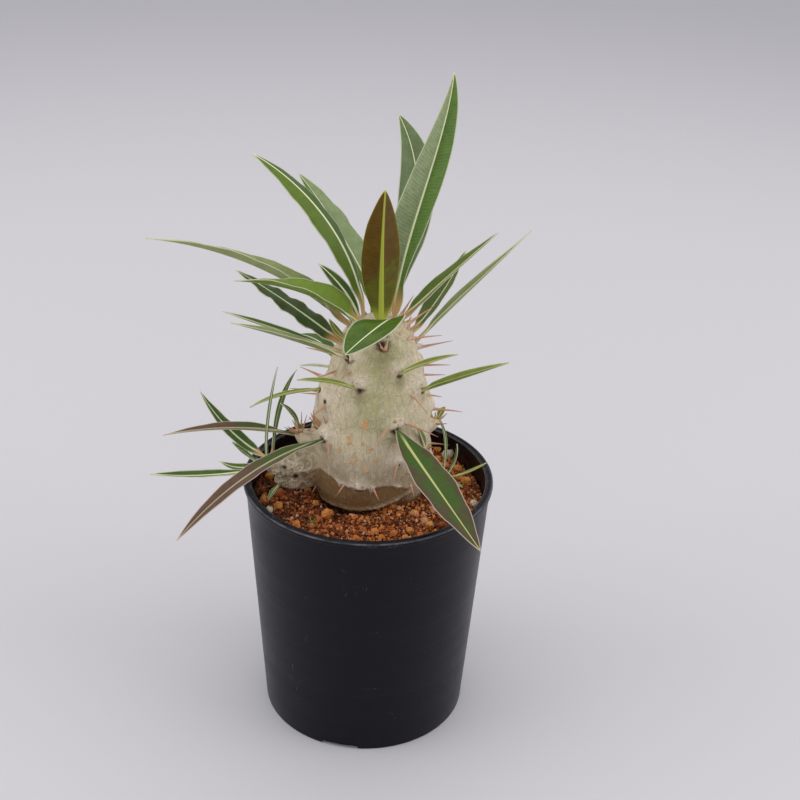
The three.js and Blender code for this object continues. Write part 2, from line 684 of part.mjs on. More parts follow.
// Height of the grit's surface at a place.
function soilHeight(x, y) {
  const [across, back] = SOIL_SWELL;
  return SOIL_LEVEL + SOIL_RELIEF * Math.sin(across * (x + SOIL_SHIFT)) * Math.cos(back * y);
}

function soilFill() {
  const bottom = FOOT_HEIGHT + POT_FLOOR + SEAT_GAP;
  const inside = (height) => potBore(height) - SEAT_GAP;
  const rings = SOIL_RINGS.map((radius) => [radius, SOIL_LEVEL]).reverse();
  const geometry = turned([
    [0, bottom], [inside(bottom), bottom], [inside(SOIL_LEVEL), SOIL_LEVEL], ...rings, [0, SOIL_LEVEL],
  ], POT_SIDES);
  const place = geometry.attributes.position;
  for (let i = 0; i < place.count; i += 1) {
    if (place.getZ(i) > SOIL_LEVEL - 1) {
      place.setZ(i, soilHeight(place.getX(i), place.getY(i)));
    }
  }
  return solid(geometry);
}

function grain(x, y, size, roll) {
  const shape = size > GRAIN_ROUNDER
    ? new THREE.IcosahedronGeometry(1, 0)
    : new THREE.OctahedronGeometry(1, 0);
  const squash = () => size * (GRAIN_STRETCH + GRAIN_STRETCH_RANGE * roll());
  shape.scale(squash(), squash(), Math.min(squash(), size));
  shape.rotateX(Math.PI * roll()).rotateY(Math.PI * roll()).rotateZ(2 * Math.PI * roll());
  shape.translate(x, y, soilHeight(x, y) + GRAIN_LIFT * size * roll());
  return solid(shape);
}

function grains() {
  const roll = dice(GRAIN_SEED);
  const placed = [];
  const inner = trunkRadius(SOIL_LEVEL);
  const outer = potBore(SOIL_LEVEL);
  while (placed.length < GRAINS) {
    const radius = outer * Math.sqrt(roll());
    const spot = aimed(360 * roll(), 0).multiplyScalar(radius);
    const size = THREE.MathUtils.lerp(GRAIN_SMALLEST, GRAIN_LARGEST, roll() ** 2);
    const fromTrunk = spot.distanceTo(new THREE.Vector3(...TRUNK_CENTRE, 0));
    const clear = placed.every((other) => other.spot.distanceTo(spot) > GRAIN_SPACING);
    if (fromTrunk > inner && clear) placed.push({ spot, size });
  }
  return placed.map(({ spot, size }) => grain(spot.x, spot.y, size, roll));
}

// Room for the grit inside the pot, above its floor.
function soilRoom() {
  const bottom = FOOT_HEIGHT + POT_FLOOR + SEAT_GAP;
  const top = SOIL_LEVEL + GRAIN_TALLEST;
  const inside = (height) => potBore(height) - SEAT_GAP;
  return solid(turned([
    [0, bottom], [inside(bottom), bottom], [inside(top), top], [0, top],
  ], POT_SIDES));
}

function soil() {
  return grains().reduce((body, lump) => body.add(lump), soilFill())
    .intersect(soilRoom())
    .subtract(plantCore(SEAT_GAP));
}

const plant = new THREE.Group();
plant.add(named('pot', pot(), PLASTIC));
plant.add(named('soil', soil(), GRIT));
plant.add(named('trunk', trunk(), BARK));
for (const [name, leaf] of Object.entries(LEAVES)) {
  plant.add(named(name, blade(leaf, 0), leaf.form));
}

export default plant;
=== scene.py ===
"""A potted Pachypodium cactipes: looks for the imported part, laid out as a Blender add-on.

Tables are in millimetres and degrees, and meshes in metres. The origin is the centre of the
pot's foot, the viewer stands towards -Y, and +Z is up. A turn or heading is measured around
+Z, from +X towards +Y, and a rise above the horizontal.
"""

import math
import random
from typing import NamedTuple

import bmesh
import bpy
import numpy as np
from mathutils import Matrix, Quaternion, Vector, noise


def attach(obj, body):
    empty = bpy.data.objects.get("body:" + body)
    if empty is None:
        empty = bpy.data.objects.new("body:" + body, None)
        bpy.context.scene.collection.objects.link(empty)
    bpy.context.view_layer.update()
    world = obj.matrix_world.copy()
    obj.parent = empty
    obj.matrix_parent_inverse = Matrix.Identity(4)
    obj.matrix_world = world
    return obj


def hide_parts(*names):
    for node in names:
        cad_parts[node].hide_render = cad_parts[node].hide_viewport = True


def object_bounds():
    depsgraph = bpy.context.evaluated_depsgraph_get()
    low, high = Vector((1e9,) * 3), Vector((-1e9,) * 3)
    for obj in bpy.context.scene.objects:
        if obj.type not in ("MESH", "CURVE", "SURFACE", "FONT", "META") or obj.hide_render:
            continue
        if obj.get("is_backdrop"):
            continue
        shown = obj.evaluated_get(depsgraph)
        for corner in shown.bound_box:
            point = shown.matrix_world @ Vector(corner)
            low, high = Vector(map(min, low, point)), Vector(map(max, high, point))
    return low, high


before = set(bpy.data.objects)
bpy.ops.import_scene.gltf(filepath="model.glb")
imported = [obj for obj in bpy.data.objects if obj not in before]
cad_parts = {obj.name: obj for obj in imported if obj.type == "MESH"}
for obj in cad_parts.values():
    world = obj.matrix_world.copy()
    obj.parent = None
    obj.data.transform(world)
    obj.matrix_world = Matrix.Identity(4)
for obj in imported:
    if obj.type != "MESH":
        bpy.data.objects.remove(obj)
CAD_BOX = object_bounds()

bl_info = {
    "name": "Potted Pachypodium Cactipes",
    "version": (1, 0, 0),
    "blender": (4, 5, 0),
    "location": "3D View > Sidebar > Pachypodium",
    "description": "A spiny bottle-shaped succulent with a crown of narrow leaves in a nursery pot",
    "category": "Add Mesh",
}

MM = 0.001
BODY = "root"

# Stage, in metres and degrees. Each softbox has a place, a size and the power that it uses.
FLOOR_RADIUS = 4.0
AMBIENT_TINT = (0.98, 0.98, 1.0)
SOFTBOXES = {
    "softbox_overhead": ((0, 0.1, 1.5), 1.6, "overhead"),
    "softbox_left": ((-1.3, -0.3, 0.8), 1.0, "side"),
    "softbox_right": ((1.3, -0.3, 0.8), 1.0, "side"),
}
CAMERA_PLACE = (0.0105, -0.4662, 0.3796)
CAMERA_PITCH = 28.48
CAMERA_ROLL = 1.88

# Nursery pot.
POT_HEIGHT = 95.5
RIM_RADIUS = 45.0
RIM_BAND = 1.9
SHOULDER_RADIUS = 44.1
FOOT_RADIUS = 37.6
POT_WALL = 1.9
POT_FLOOR = 1.6
FOOT_HEIGHT = 2.0
FOOT_WIDTH = 4.0
PAD_RADIUS = 9.0
LIP_GROOVE = 0.45
POT_STEPS = 192
DRAIN_HOLES = 8
DRAIN_RADIUS = 3.0
DRAIN_CIRCLE = 21.0
NOTCHES = 3
NOTCH_WIDTH = 14.0
NOTCH_HEIGHT = 1.5
NOTCH_TURN = 258.0

# Grit: its level, the hollow under the front of the trunk, and the grains on it.
GRIT_LEVEL = 87.6
GRIT_CLEAR = 0.3
GRIT_RINGS = 70
GRIT_STEPS = 180
HOLLOW_TURN = 240.0
HOLLOW_SPREAD = 27.0
HOLLOW_REACH = 5.0
HOLLOW_DEPTH = 5.5
# Kinds of grain: how many, smallest and largest radius, and how far each sinks in.
GRAIN_KINDS = [(4600, 0.28, 0.6, -0.1), (1500, 0.55, 1.2, 0.1), (210, 1.0, 1.9, 0.25)]
GRAIN_SHAPES = 14
# Painted shade: grains darken towards -X, where the trunk's shadow falls, and lighten towards +X.
GRAIN_SHADE_SLOPE = 0.004
LUMP_SIZE = 0.85
LUMPY_SHAPES = 6
LUMPY_FROM = 1.6
PLAIN_CORNERS = 11
LUMPY_CORNERS = 26
# Lumps and pumice that stand out: place across and back, radius, and tone.
LUMPS = [
    (36.0, 9.4, 3.1, 0.86), (17.1, -13.5, 2.5, 0.88), (22.4, -21.6, 2.6, 0.84),
    (-13.9, -17.3, 3.2, 0.8), (-37.4, -7.0, 2.2, 0.86), (-31.5, -11.9, 2.9, 0.82),
    (29.0, 27.5, 2.9, 0.99), (38.2, -6.2, 2.2, 1.0), (-34.6, -13.8, 2.2, 0.98),
    (20.6, -17.6, 2.2, 0.9), (-24.5, -22.4, 2.4, 0.78), (31.5, -14.5, 2.3, 0.8),
    (10.0, -26.0, 2.4, 0.74), (33.0, 19.5, 2.6, 0.82), (-3.0, -31.0, 2.3, 0.7),
    (8.0, 37.5, 2.8, 0.84), (-20.0, 33.0, 2.6, 0.8), (-33.0, 18.0, 2.5, 0.97),
    (25.5, 31.5, 2.2, 0.86), (-10.0, 36.0, 2.3, 0.99), (-36.5, 8.0, 2.3, 0.84),
]

# Trunk: its axis stands behind the pot's, and its crown leans to +X.
TRUNK_CENTRE = (0.3, 8.0)
TRUNK_LEAN = 2.7
TRUNK_LEAN_FROM = 115.0
TRUNK_TOP = 155.0
TRUNK_OUTLINE = [
    (0, 74), (9, 75.5), (15.5, 80), (19.6, 86), (22, 93.5), (22.2, 101), (21.3, 110),
    (20.6, 119), (19.9, 126), (16.9, 133), (14.2, 140.5), (12.6, 147), (9.6, 151.8),
    (5, 154.5), (0, TRUNK_TOP),
]
OUTLINE_SAMPLES = 400
SKIN_VOXEL = 0.55
SKIN_SMOOTHING = 5
# Masks of the bark. One holds painted shadow below the leaf scars, one pale skin with a painted
# highlight on each scar's swelling, and one brown skin with painted shade in the undercut below the
# band.
BARK_MASKS = ("pit", "stain", "pale", "foot", "flake", "green")
# Leaf scars: turn, height and how far each stands out, then radius and depth of its pit.
SCARS = [
    (253, 134.5, 1.8, 1.0, 1.0), (301, 139.2, 1.9, 1.0, 1.0), (332, 131, 2.0, 0.9, 0.8),
    (294, 120.6, 2.3, 1.3, 1.4), (223, 113.8, 2.2, 1.2, 1.2), (199, 129, 2.0, 1.0, 0.8),
    (277, 149.4, 1.0, 1.9, 1.5), (224, 142.8, 1.3, 1.3, 1.0), (218, 127.5, 1.9, 0.6, 0.4),
    (262, 97.6, 0.9, 0.9, 0.5), (355, 120, 1.4, 0.9, 0.7), (355, 137, 1.2, 0.8, 0.6),
    (175, 139, 1.4, 0.9, 0.7), (298, 107, 0.8, 0.4, 0.2), (340, 101, 1.2, 0.8, 0.6),
]
SCAR_SPREAD = 3.6
SCAR_REACH = 9
# Bark band above the grit: its two edges, as turn, upper height and lower height.
BAND = [
    (203, 98.0, 88.5), (219, 101.6, 87.2), (232, 101.0, 87.4), (243, 99.4, 87.7),
    (252, 99.0, 87.9), (262, 98.9, 88.3), (274, 99.3, 89.4), (285, 99.6, 90.7),
    (296, 98.9, 92.3), (306, 96.8, 93.6), (318, 94.8, 94.2),
]
# Whitish points that run down from the band's upper edge: turn and reach.
SPURS = [(243, 3.0), (251, 1.2), (264, 1.3), (273, 3.5), (297, 1.6), (312, 2.8)]
# Orange-tan flakes of bark: turn, height, half width and half height.
FLAKES = [
    (264, 123, 1.2, 1.9), (250, 116.3, 0.7, 1.6), (264, 116, 0.5, 1.1), (258, 109.9, 0.6, 1.2),
    (271, 113.8, 1.0, 0.8), (268, 106, 0.8, 0.8), (277, 110.2, 0.8, 1.1), (254, 108, 1.2, 0.5),
    (240, 112, 0.5, 1.0), (305, 115, 0.6, 1.0), (30, 112, 1.0, 1.6), (75, 121, 0.9, 1.5),
    (120, 109, 0.8, 1.3), (160, 117, 0.9, 1.2), (345, 110, 0.7, 1.3),
]
# The wrinkled left shoots: middle of their folds, and dark pits as place and radius.
LOBE_CENTRE = (-27, -7, 100)
SHOOT_PITS = [((-25.8, -7.6, 98), 1.3), ((-29.6, -7.4, 102), 1.1), ((-33.5, -8.2, 104), 0.6)]


class Shoot(NamedTuple):
    """A side shoot: its two ends and the radius at each."""
    start: tuple
    end: tuple
    thick: float
    thin: float


SHOOTS = {
    "left_upper": Shoot((-15, 3, 104), (-24.4, 1.2, 110.6), 5.6, 3.1),
    "left_lower": Shoot((-14, 1, 96.5), (-35, -4.8, 102), 8, 3.6),
    "left_foot": Shoot((-21, -2, 95), (-30.4, -5, 95.6), 4.6, 3.2),
    "right_upper": Shoot((17, 8.5, 110), (23, 9.2, 112.6), 3.8, 2.4),
    "right_lower": Shoot((17, 5, 91.5), (28.8, 4.4, 93), 3.6, 2.2),
}

# Spines that show from the front: turn, height, heading, rise and length.
SPINES = [
    (330, 149.5, 3, 10, 12), (6, 142.6, 5, 13, 13), (353, 137.6, 359, 4, 11),
    (358, 119.6, 357, 2, 12), (317, 131.5, 310, -19, 10), (284, 141.5, 285, -4, 5),
    (218, 127, 213, -29, 10), (286, 121.8, 245, -22, 8), (304, 123, 341, -14, 13),
    (228, 113.5, 268, -18, 8), (298, 108, 260, -31, 10), (312, 97, 285, -13, 6),
    (248, 99, 244, -9, 6), (274, 99.3, 300, -28, 6), (171, 129, 151, 12, 10),
    (150, 149, 158, 24, 13), (173, 139, 156, 0, 12), (350, 152.4, 6, 42, 13),
    (179, 125, 186, 6, 10), (212, 117.5, 203, 60, 6), (221, 119, 248, 62, 6),
    (205, 136.5, 225, 1, 7), (339, 128.5, 20, -12, 7), (232, 139.5, 236, -12, 6),
    (40, 152.5, 45, 45, 9), (210, 92.5, 250, -20, 4.5), (200, 93.0, 235, -22, 4.5),
]
# The rest stand in pairs on the far side, at scars spread around it by the golden section.
REAR_SCARS = 9
REAR_TURNS = (30, 150)
REAR_HEIGHTS = (97, 146)
REAR_SCAR = (1.3, 0.9, 0.7)
PAIR_OFFSET = 6
PAIR_SPREAD = 38
PAIR_RISE = 12
PAIR_LENGTH = 10
PAIR_VARIETY = 0.2
GOLDEN_TURN = 137.5
GOLDEN_SECTION = 0.618
SPINE_ROOT = 1.5
SPINE_RINGS = 7
# Crowded short spines on the ends of three shoots: shoot, how many, and length.
TUFTS = [("left_upper", 16, 4.6), ("left_lower", 9, 3.6), ("right_upper", 7, 4.0)]

# Bud scales beside leaf scars: turn, height, how many, length, and rise.
BUDS = [
    (295, 124.2, 8, 2.2, 25), (210, 117.5, 9, 4.6, 60), (299, 140.8, 5, 1.8, 30),
    (223, 115.8, 5, 2.0, 20), (262, 99.8, 6, 1.8, 15), (247, 136.3, 4, 1.8, 30),
    (199, 130.8, 5, 1.8, 35), (329, 132.8, 4, 2.0, 20), (336, 108.5, 6, 2.6, 30),
]

# Dry scales around the crown's leaves, and a seedling in the grit.
CROWN_SCALES = 26
CROWN_SCALE_HEIGHTS = (148.5, 154.2)
SPROUT_PLACE = (-18.9, -22.1)
SPROUT_LEAVES = 6

# Leaf model.
ROOT_DEPTH = 1.3
STALK_THICK = 1.3
STALK_SHARE = 0.06
STALK_HALF_WIDTH = 0.8
TIP_HALF_WIDTH = 0.12
MIDRIB_FINE = 4
LEAF_STEP = 0.9
LEAF_CELL = 0.9
LEAF_CROWDING = 1.4
WAVE_LEAD = 1.0
WAVE_FADE = 3.0
VEIN_SPACING = 1.2


class Leaf(NamedTuple):
    """A leaf. Its root is a turn and height on the trunk, or a shoot and an aim from its end.

    It sets out at a heading and a rise, and has drooped and swept sideways by the tip. widest is
    the share of its length where it is widest, and full how full its outline is.
    """
    finish: str
    root: tuple
    heading: float
    rise: float
    droop: float
    sweep: float
    length: float
    width: float
    fold: float
    waves: int
    roll: float = 0
    twist: float = 0
    widest: float = 0.5
    full: float = 0.85
    wave: float = None


LEAVES = {
    "crown_tall": Leaf("grey", (0, 154.6), 32, 86, 54, 54, 92, 12.3, 37, 5, -3, 43, 0.37, 0.77),
    "crown_back": Leaf("dull", (74, 153.4), 40, 61, 19, 89, 75, 13, 27, 5, -1, -9, 0.53, 0.76),
    "crown_left_tall": Leaf(
        "bright", (156, 153.8), 167, 85, 69, -15, 72, 10.1, -19, 5, -9, -1, 0.48, wave=0.025,
    ),
    "crown_left_back": Leaf(
        "pale", (95, 153.8), 135, 54, 16, 10, 57, 12.5, 15, 5, 9, -7, 0.43, 0.71, wave=0.03,
    ),
    "crown_bronze": Leaf(
        "bronze", (272, 154.3), 264, 81, 10, 14, 56, 13.3, 14, 3, 15, 2, 0.48, 0.78,
    ),
    "crown_left_small": Leaf("dark", (187, 153.4), 171, 76, 63, -37, 26, 4.5, 16, 2, -36, -9, 0.49),
    "crown_left_arched": Leaf(
        "fresh", (216, 153), 205, 50, 50, -22, 50, 13.2, 26, 4, -31, 64, 0.32, 1.15,
    ),
    "crown_left_long": Leaf(
        "soft", (182, 151), 181, 45, 43, -3, 78, 9.1, 34, 5, -15, 57, 0.3, 1.31,
    ),
    "crown_front": Leaf(
        "lush", (282, 151.6), 295, 65, 101, -83, 46, 16.1, 9, 2, 24, -22, 0.7, 0.65,
    ),
    "crown_right": Leaf("two_tone", (12, 153.4), 16, 43, 5, 6, 45, 7.3, 18, 3, 7, -26, 0.39),
    "right_dark": Leaf("mid", (18, 147.6), 48, 29, -8, 14, 38, 8.7, 16, 3, -16, -11, 0.43),
    "right_long": Leaf(
        "soft", (358, 146), 5, 49, 14, 29, 56, 3.2, 44, 3, 2, 0, 0.39, 1.35, wave=0.01,
    ),
    "left_dark": Leaf(
        "dusky", (192, 145.6), 156, 29, 9, 1, 46, 9.9, -1, 5, -10, 17, 0.38, 0.71, wave=0.05,
    ),
    "left_tiny": Leaf("olive", (204, 147.8), 151, 26, -16, -22, 10, 2.5, 7, 1, -7, -4),
    "left_narrow": Leaf("mid", (203, 143.4), 184, 21, 1, -2, 44, 3.5, 25, 3, 4, -5, 0.52, 1.09),
    "left_narrow_low": Leaf(
        "soft", (220, 143), 195, 27, 10, -6, 43, 5.9, 21, 3, 23, -19, 0.47, 1.21,
    ),
    "trunk_right_high": Leaf(
        "olive", (299, 139), 346, 35, 21, 20, 23, 2.2, 37, 2, 16, 5, wave=0.01,
    ),
    "trunk_right_low": Leaf(
        "olive", (329, 131), 348, 26, 3, 12, 34, 3.2, 43, 2, 4, 2, 0.43, wave=0.01,
    ),
    "trunk_front": Leaf("olive", (247, 134.5), 211, 29, 20, -12, 23, 3.1, 18, 1, -9, 0, 0.48),
    "trunk_left": Leaf("olive", (199, 129), 194, 5, 34, -7, 27, 2.1, 23, 2, -5),
    "trunk_left_stub": Leaf("dark", (184, 135.5), 179, 7, 16, -5, 11, 1.2, 10, 1),
    "trunk_low": Leaf("dark", (337, 107), 255, 59, 4, -10, 19, 2.8, 20, 1),
    "droop_right": Leaf("mottled", (295, 121), 301, -18, 18, 15, 54, 14, 10, 4, wave=0.03),
    "droop_left": Leaf(
        "purple", (223, 113.4), 220, 6, 39, 6, 67, 6.1, 17, 5, 11, -42, 0.42, 0.76, wave=0.03,
    ),
    "rear_left": Leaf("dark", (128, 127), 122, 22, 40, 10, 30, 6.5, 20, 2),
    "rear_middle": Leaf("dark", (88, 137), 92, 28, 30, -8, 38, 8, 18, 3),
    "rear_right": Leaf("purple", (66, 121), 96, 15, 35, -4, 32, 7, 18, 3),
    "shoot_purple": Leaf(
        "striped", ("left_upper", 188, 10), 194, 17, 24, -1, 46, 5, 28, 4, -8, 4, 0.42, 1.15,
    ),
    "shoot_hook": Leaf("young", ("left_upper", 120, 60), 150, 68, 40, 20, 11, 2.6, 10, 1),
    "shoot_broad": Leaf(
        "dark", ("left_lower", 150, 35), 154, 16, -43, 3, 33, 6.5, 9, 3, -6, 10, 0.39,
    ),
    "shoot_bud": Leaf(
        "young", ("left_lower", 212, 10), 169, 27, -12, -9, 13, 2.6, 14, 1, 0, 0, 0.56,
    ),
    "shoot_level": Leaf(
        "dark", ("left_lower", 205, -30), 186, -11, -15, -7, 40, 4.3, 25, 3, -3, -3, 0.54,
    ),
    "shoot_short": Leaf(
        "mid", ("left_lower", 150, -15), 171, -38, -54, -20, 18, 3.8, 15, 1, -9, -2, 0.49, 0.92,
    ),
    "shoot_upright_left": Leaf("young", ("left_lower", 235, 60), 170, 89, -16, 0, 37, 1.8, 20, 2),
    "shoot_upright_right": Leaf(
        "young", ("left_lower", 75, 35), 90, 65, 38, -33, 33, 2.1, 20, 2, 40, 0, 0.51,
    ),
    "shoot_foot": Leaf("young", ("left_foot", 250, -10), 232, -12, 36, 4, 7.5, 2, 14, 1),
    "right_shoot_strand": Leaf("young", ("right_lower", 200, 25), 72, 62, 56, 50, 27, 1.2, 20, 1),
    "right_shoot_hook": Leaf("young", ("right_lower", 60, 68), 41, 45, -58, -7, 11.3, 1.4, 20, 1),
    "right_shoot_side": Leaf("olive", ("right_lower", 2, 8), 4, 16, -14, 14, 13, 1.5, 20, 1),
    "right_shoot_low": Leaf("young", ("right_lower", 295, -14), 318, 17, 33, 1, 6, 1.5, 14, 1),
    "right_bud": Leaf("olive", ("right_upper", 25, 45), 48, 60, 30, 0, 5, 2.8, 14, 1),
}


def tone(red, green, blue):
    """Linear colour of a shade given from 0 to 255."""
    shares = [part / 255 for part in (red, green, blue)]
    return tuple(s / 12.92 if s <= 0.04045 else ((s + 0.055) / 1.055) ** 2.4 for s in shares)


# Shapes.

def smooth(value, low, high):
    share = min(max((value - low) / (high - low), 0.0), 1.0)
    return share * share * (3 - 2 * share)


def lerp(first, second, share):
    return first + (second - first) * share


def aimed(heading, rise):
    """Direction of a heading and a rise."""
    level = math.cos(math.radians(rise))
    turn = math.radians(heading)
    return Vector((level * math.cos(turn), level * math.sin(turn), math.sin(math.radians(rise))))


def outline_curve():
    """Radius and height along the trunk's outline, evenly spaced from root to crown."""
    points = TRUNK_OUTLINE
    last = len(points) - 1
    dense = []
    for step in range(OUTLINE_SAMPLES + 1):
        at = step / OUTLINE_SAMPLES * last
        low = min(int(at), last - 1)
        share = at - low
        knots = [points[min(max(low + k, 0), last)] for k in (-1, 0, 1, 2)]
        spot = []
        for p0, p1, p2, p3 in zip(*knots):
            v0, v1 = (p2 - p0) / 2, (p3 - p1) / 2
            spot.append(
                (2 * p1 - 2 * p2 + v0 + v1) * share ** 3
                + (3 * p2 - 3 * p1 - 2 * v0 - v1) * share ** 2 + v0 * share + p1
            )
        dense.append(spot)
    dense = np.array(dense)
    run = np.concatenate([[0], np.cumsum(np.hypot(*np.diff(dense, axis=0).T))])
    even = np.linspace(0, run[-1], OUTLINE_SAMPLES + 1)
    return np.column_stack([np.interp(even, run, dense[:, k]) for k in (0, 1)])


OUTLINE = outline_curve()


def outline_at(share):
    at = np.linspace(0, 1, len(OUTLINE))
    return [float(np.interp(share, at, OUTLINE[:, k])) for k in (0, 1)]


def trunk_radius(height):
    return float(np.interp(height, OUTLINE[:, 1], OUTLINE[:, 0]))


def trunk_axis(height):
    share = max(0.0, height - TRUNK_LEAN_FROM) / (TRUNK_TOP - TRUNK_LEAN_FROM)
    return Vector((TRUNK_CENTRE[0] + TRUNK_LEAN * share, TRUNK_CENTRE[1], height))


def on_trunk(turn, height):
    return trunk_axis(height) + aimed(turn, 0) * trunk_radius(height)


def rear_scars():
    for i in range(REAR_SCARS):
        turn = lerp(*REAR_TURNS, (i * GOLDEN_SECTION) % 1)
        yield turn, lerp(*REAR_HEIGHTS, (i + 0.5) / REAR_SCARS)


def all_scars():
    """Place and turn of every scar, then how far it stands out and its pit's radius and depth."""
    rear = [(turn, height, *REAR_SCAR) for turn, height in rear_scars()]
    return [(on_trunk(turn, height), turn, *rest) for turn, height, *rest in SCARS + rear]


ALL_SCARS = all_scars()


def in_metres(bm):
    bmesh.ops.scale(bm, verts=bm.verts, vec=(MM, MM, MM))
    return bm


def closed(bm):
    """A mesh in metres whose faces point outwards."""
    bmesh.ops.recalc_face_normals(bm, faces=bm.faces)
    return in_metres(bm)


def mesh_of(bm, name="part"):
    mesh = bpy.data.meshes.new(name)
    bm.to_mesh(mesh)
    bm.free()
    return mesh


def add_copy(bm, single):
    """Adds a mesh to a bmesh and removes the mesh."""
    bm.from_mesh(single)
    bpy.data.meshes.remove(single)


def helper(name, bm):
    """A plain object in the scene."""
    made = bpy.data.objects.new(name, mesh_of(bm, name))
    bpy.context.scene.collection.objects.link(made)
    return made


def piece(name, bm, finish, slot, stands_for=(), shade_smooth=True):
    """Makes a finished piece of a mesh in metres and hands it to the frame."""
    made = helper(name, bm)
    made.data.shade_smooth() if shade_smooth else made.data.shade_flat()
    made.data.materials.append(finish)
    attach(made, BODY)
    if stands_for:
        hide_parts(*stands_for)
    return made


def settled(made):
    """Replaces a piece's mesh by what its modifiers make of it."""
    bpy.context.view_layer.update()
    ready = made.evaluated_get(bpy.context.evaluated_depsgraph_get())
    mesh = bpy.data.meshes.new_from_object(ready)
    made.modifiers.clear()
    made.data = mesh


def turned(profile, steps):
    """A profile of radius and height turned around +Z."""
    bm = bmesh.new()
    rail = [bm.verts.new((radius, 0, height)) for radius, height in profile]
    edges = [bm.edges.new(pair) for pair in zip(rail, rail[1:])]
    bmesh.ops.spin(
        bm, geom=rail + edges, cent=(0, 0, 0), axis=(0, 0, 1), angle=2 * math.pi, steps=steps,
        use_merge=True, use_duplicate=False,
    )
    bmesh.ops.remove_doubles(bm, verts=bm.verts, dist=1e-4)
    bmesh.ops.recalc_face_normals(bm, faces=bm.faces)
    return bm


def pot_wall_radius(height):
    share = min(height / (POT_HEIGHT - RIM_BAND), 1.0)
    return lerp(FOOT_RADIUS, SHOULDER_RADIUS, share)


def pot_bore(height):
    return pot_wall_radius(height) - POT_WALL


def rounded(corner, before, after, radius, parts=4):
    """Points of an arc that rounds a profile's corner."""
    corner, before, after = Vector(corner), Vector(before), Vector(after)
    first = corner + (before - corner).normalized() * radius
    last = corner + (after - corner).normalized() * radius
    for k in range(parts + 1):
        share = k / parts
        yield tuple(first.lerp(corner, share).lerp(corner.lerp(last, share), share))


def pot_profile():
    """Outside of the pot from the middle of its pad up, over the lip and down inside."""
    band = POT_HEIGHT - RIM_BAND
    floor = FOOT_HEIGHT + POT_FLOOR
    lip = pot_bore(POT_HEIGHT)
    crest = (RIM_RADIUS + lip) / 2
    corners = [
        (0, 0, 0), (PAD_RADIUS, 0, 0.3), (PAD_RADIUS + 0.5, FOOT_HEIGHT, 0.4),
        (FOOT_RADIUS - FOOT_WIDTH - 0.5, FOOT_HEIGHT, 0.4), (FOOT_RADIUS - FOOT_WIDTH, 0, 0.3),
        (FOOT_RADIUS, 0, 0.7), (SHOULDER_RADIUS, band, 0.25), (RIM_RADIUS, band + 0.4, 0.3),
        (RIM_RADIUS, POT_HEIGHT, 0.55), (crest + 0.35, POT_HEIGHT, 0.2),
        (crest, POT_HEIGHT - LIP_GROOVE, 0.15), (crest - 0.4, POT_HEIGHT - 0.1, 0.2),
        (lip, POT_HEIGHT - 0.1, 0.35), (pot_bore(POT_HEIGHT - 4), POT_HEIGHT - 4, 0),
        (pot_bore(floor), floor, 0.6), (0, floor, 0),
    ]
    points = []
    for index, (radius, height, turn) in enumerate(corners):
        if turn == 0:
            points.append((radius, height))
            continue
        before, after = corners[index - 1][:2], corners[index + 1][:2]
        points.extend(rounded((radius, height), before, after, turn))
    return list(split_long(points, 6.0))


def split_long(points, longest):
    """The same profile with points added where two are far apart."""
    for first, second in zip(points, points[1:]):
        parts = max(1, math.ceil(math.dist(first, second) / longest))
        for k in range(parts):
            yield tuple(lerp(a, b, k / parts) for a, b in zip(first, second))
    yield points[-1]


def notch_block():
    """Cutting block of a foot notch, rounded where it meets the wall above."""
    bm = bmesh.new()
    bmesh.ops.create_cube(bm, size=1)
    bmesh.ops.scale(bm, verts=bm.verts, vec=(2 * FOOT_WIDTH, NOTCH_WIDTH, 2 * NOTCH_HEIGHT))
    top = [e for e in bm.edges if all(v.co.z > 0 for v in e.verts)
           and abs(e.verts[0].co.x - e.verts[1].co.x) > FOOT_WIDTH]
    bmesh.ops.bevel(
        bm, geom=top, offset=0.6, offset_type="OFFSET", segments=3, profile=0.5,
        affect="EDGES", material=-1,
    )
    return mesh_of(bm)


def pot_cutters():
    """Drain holes and foot notches in one cutting body."""
    bm = bmesh.new()
    for i in range(DRAIN_HOLES):
        turn = Matrix.Rotation(2 * math.pi * (i + 0.5) / DRAIN_HOLES, 4, "Z")
        place = turn @ Matrix.Translation((DRAIN_CIRCLE, 0, FOOT_HEIGHT + POT_FLOOR / 2))
        bmesh.ops.create_cone(
            bm, cap_ends=True, segments=40, radius1=DRAIN_RADIUS, radius2=DRAIN_RADIUS,
            depth=POT_FLOOR + 2 * FOOT_HEIGHT, matrix=place,
        )
    for i in range(NOTCHES):
        turn = Matrix.Rotation(math.radians(NOTCH_TURN) + 2 * math.pi * i / NOTCHES, 4, "Z")
        block = notch_block()
        block.transform(turn @ Matrix.Translation((FOOT_RADIUS - FOOT_WIDTH / 2, 0, 0)))
        add_copy(bm, block)
    return helper("pot_cutters", in_metres(bm))


def sunk_near_trunk(x, y):
    """How deep the grit is hollowed under the front of the trunk."""
    away = Vector((x - TRUNK_CENTRE[0], y - TRUNK_CENTRE[1]))
    turn = math.degrees(math.atan2(away.y, away.x)) % 360
    side = math.exp(-((turn - HOLLOW_TURN) / HOLLOW_SPREAD) ** 2)
    beyond = away.length - trunk_radius(GRIT_LEVEL)
    return HOLLOW_DEPTH * side * (1 - smooth(beyond, 0.5, HOLLOW_REACH))


def grit_height(x, y):
    """Height of the grit under its grains."""
    spot = Vector((x, y, 0))
    swell = 0.9 * noise.noise(spot * 0.09) + 0.5 * noise.noise(spot * 0.3)
    return GRIT_LEVEL + swell - sunk_near_trunk(x, y)


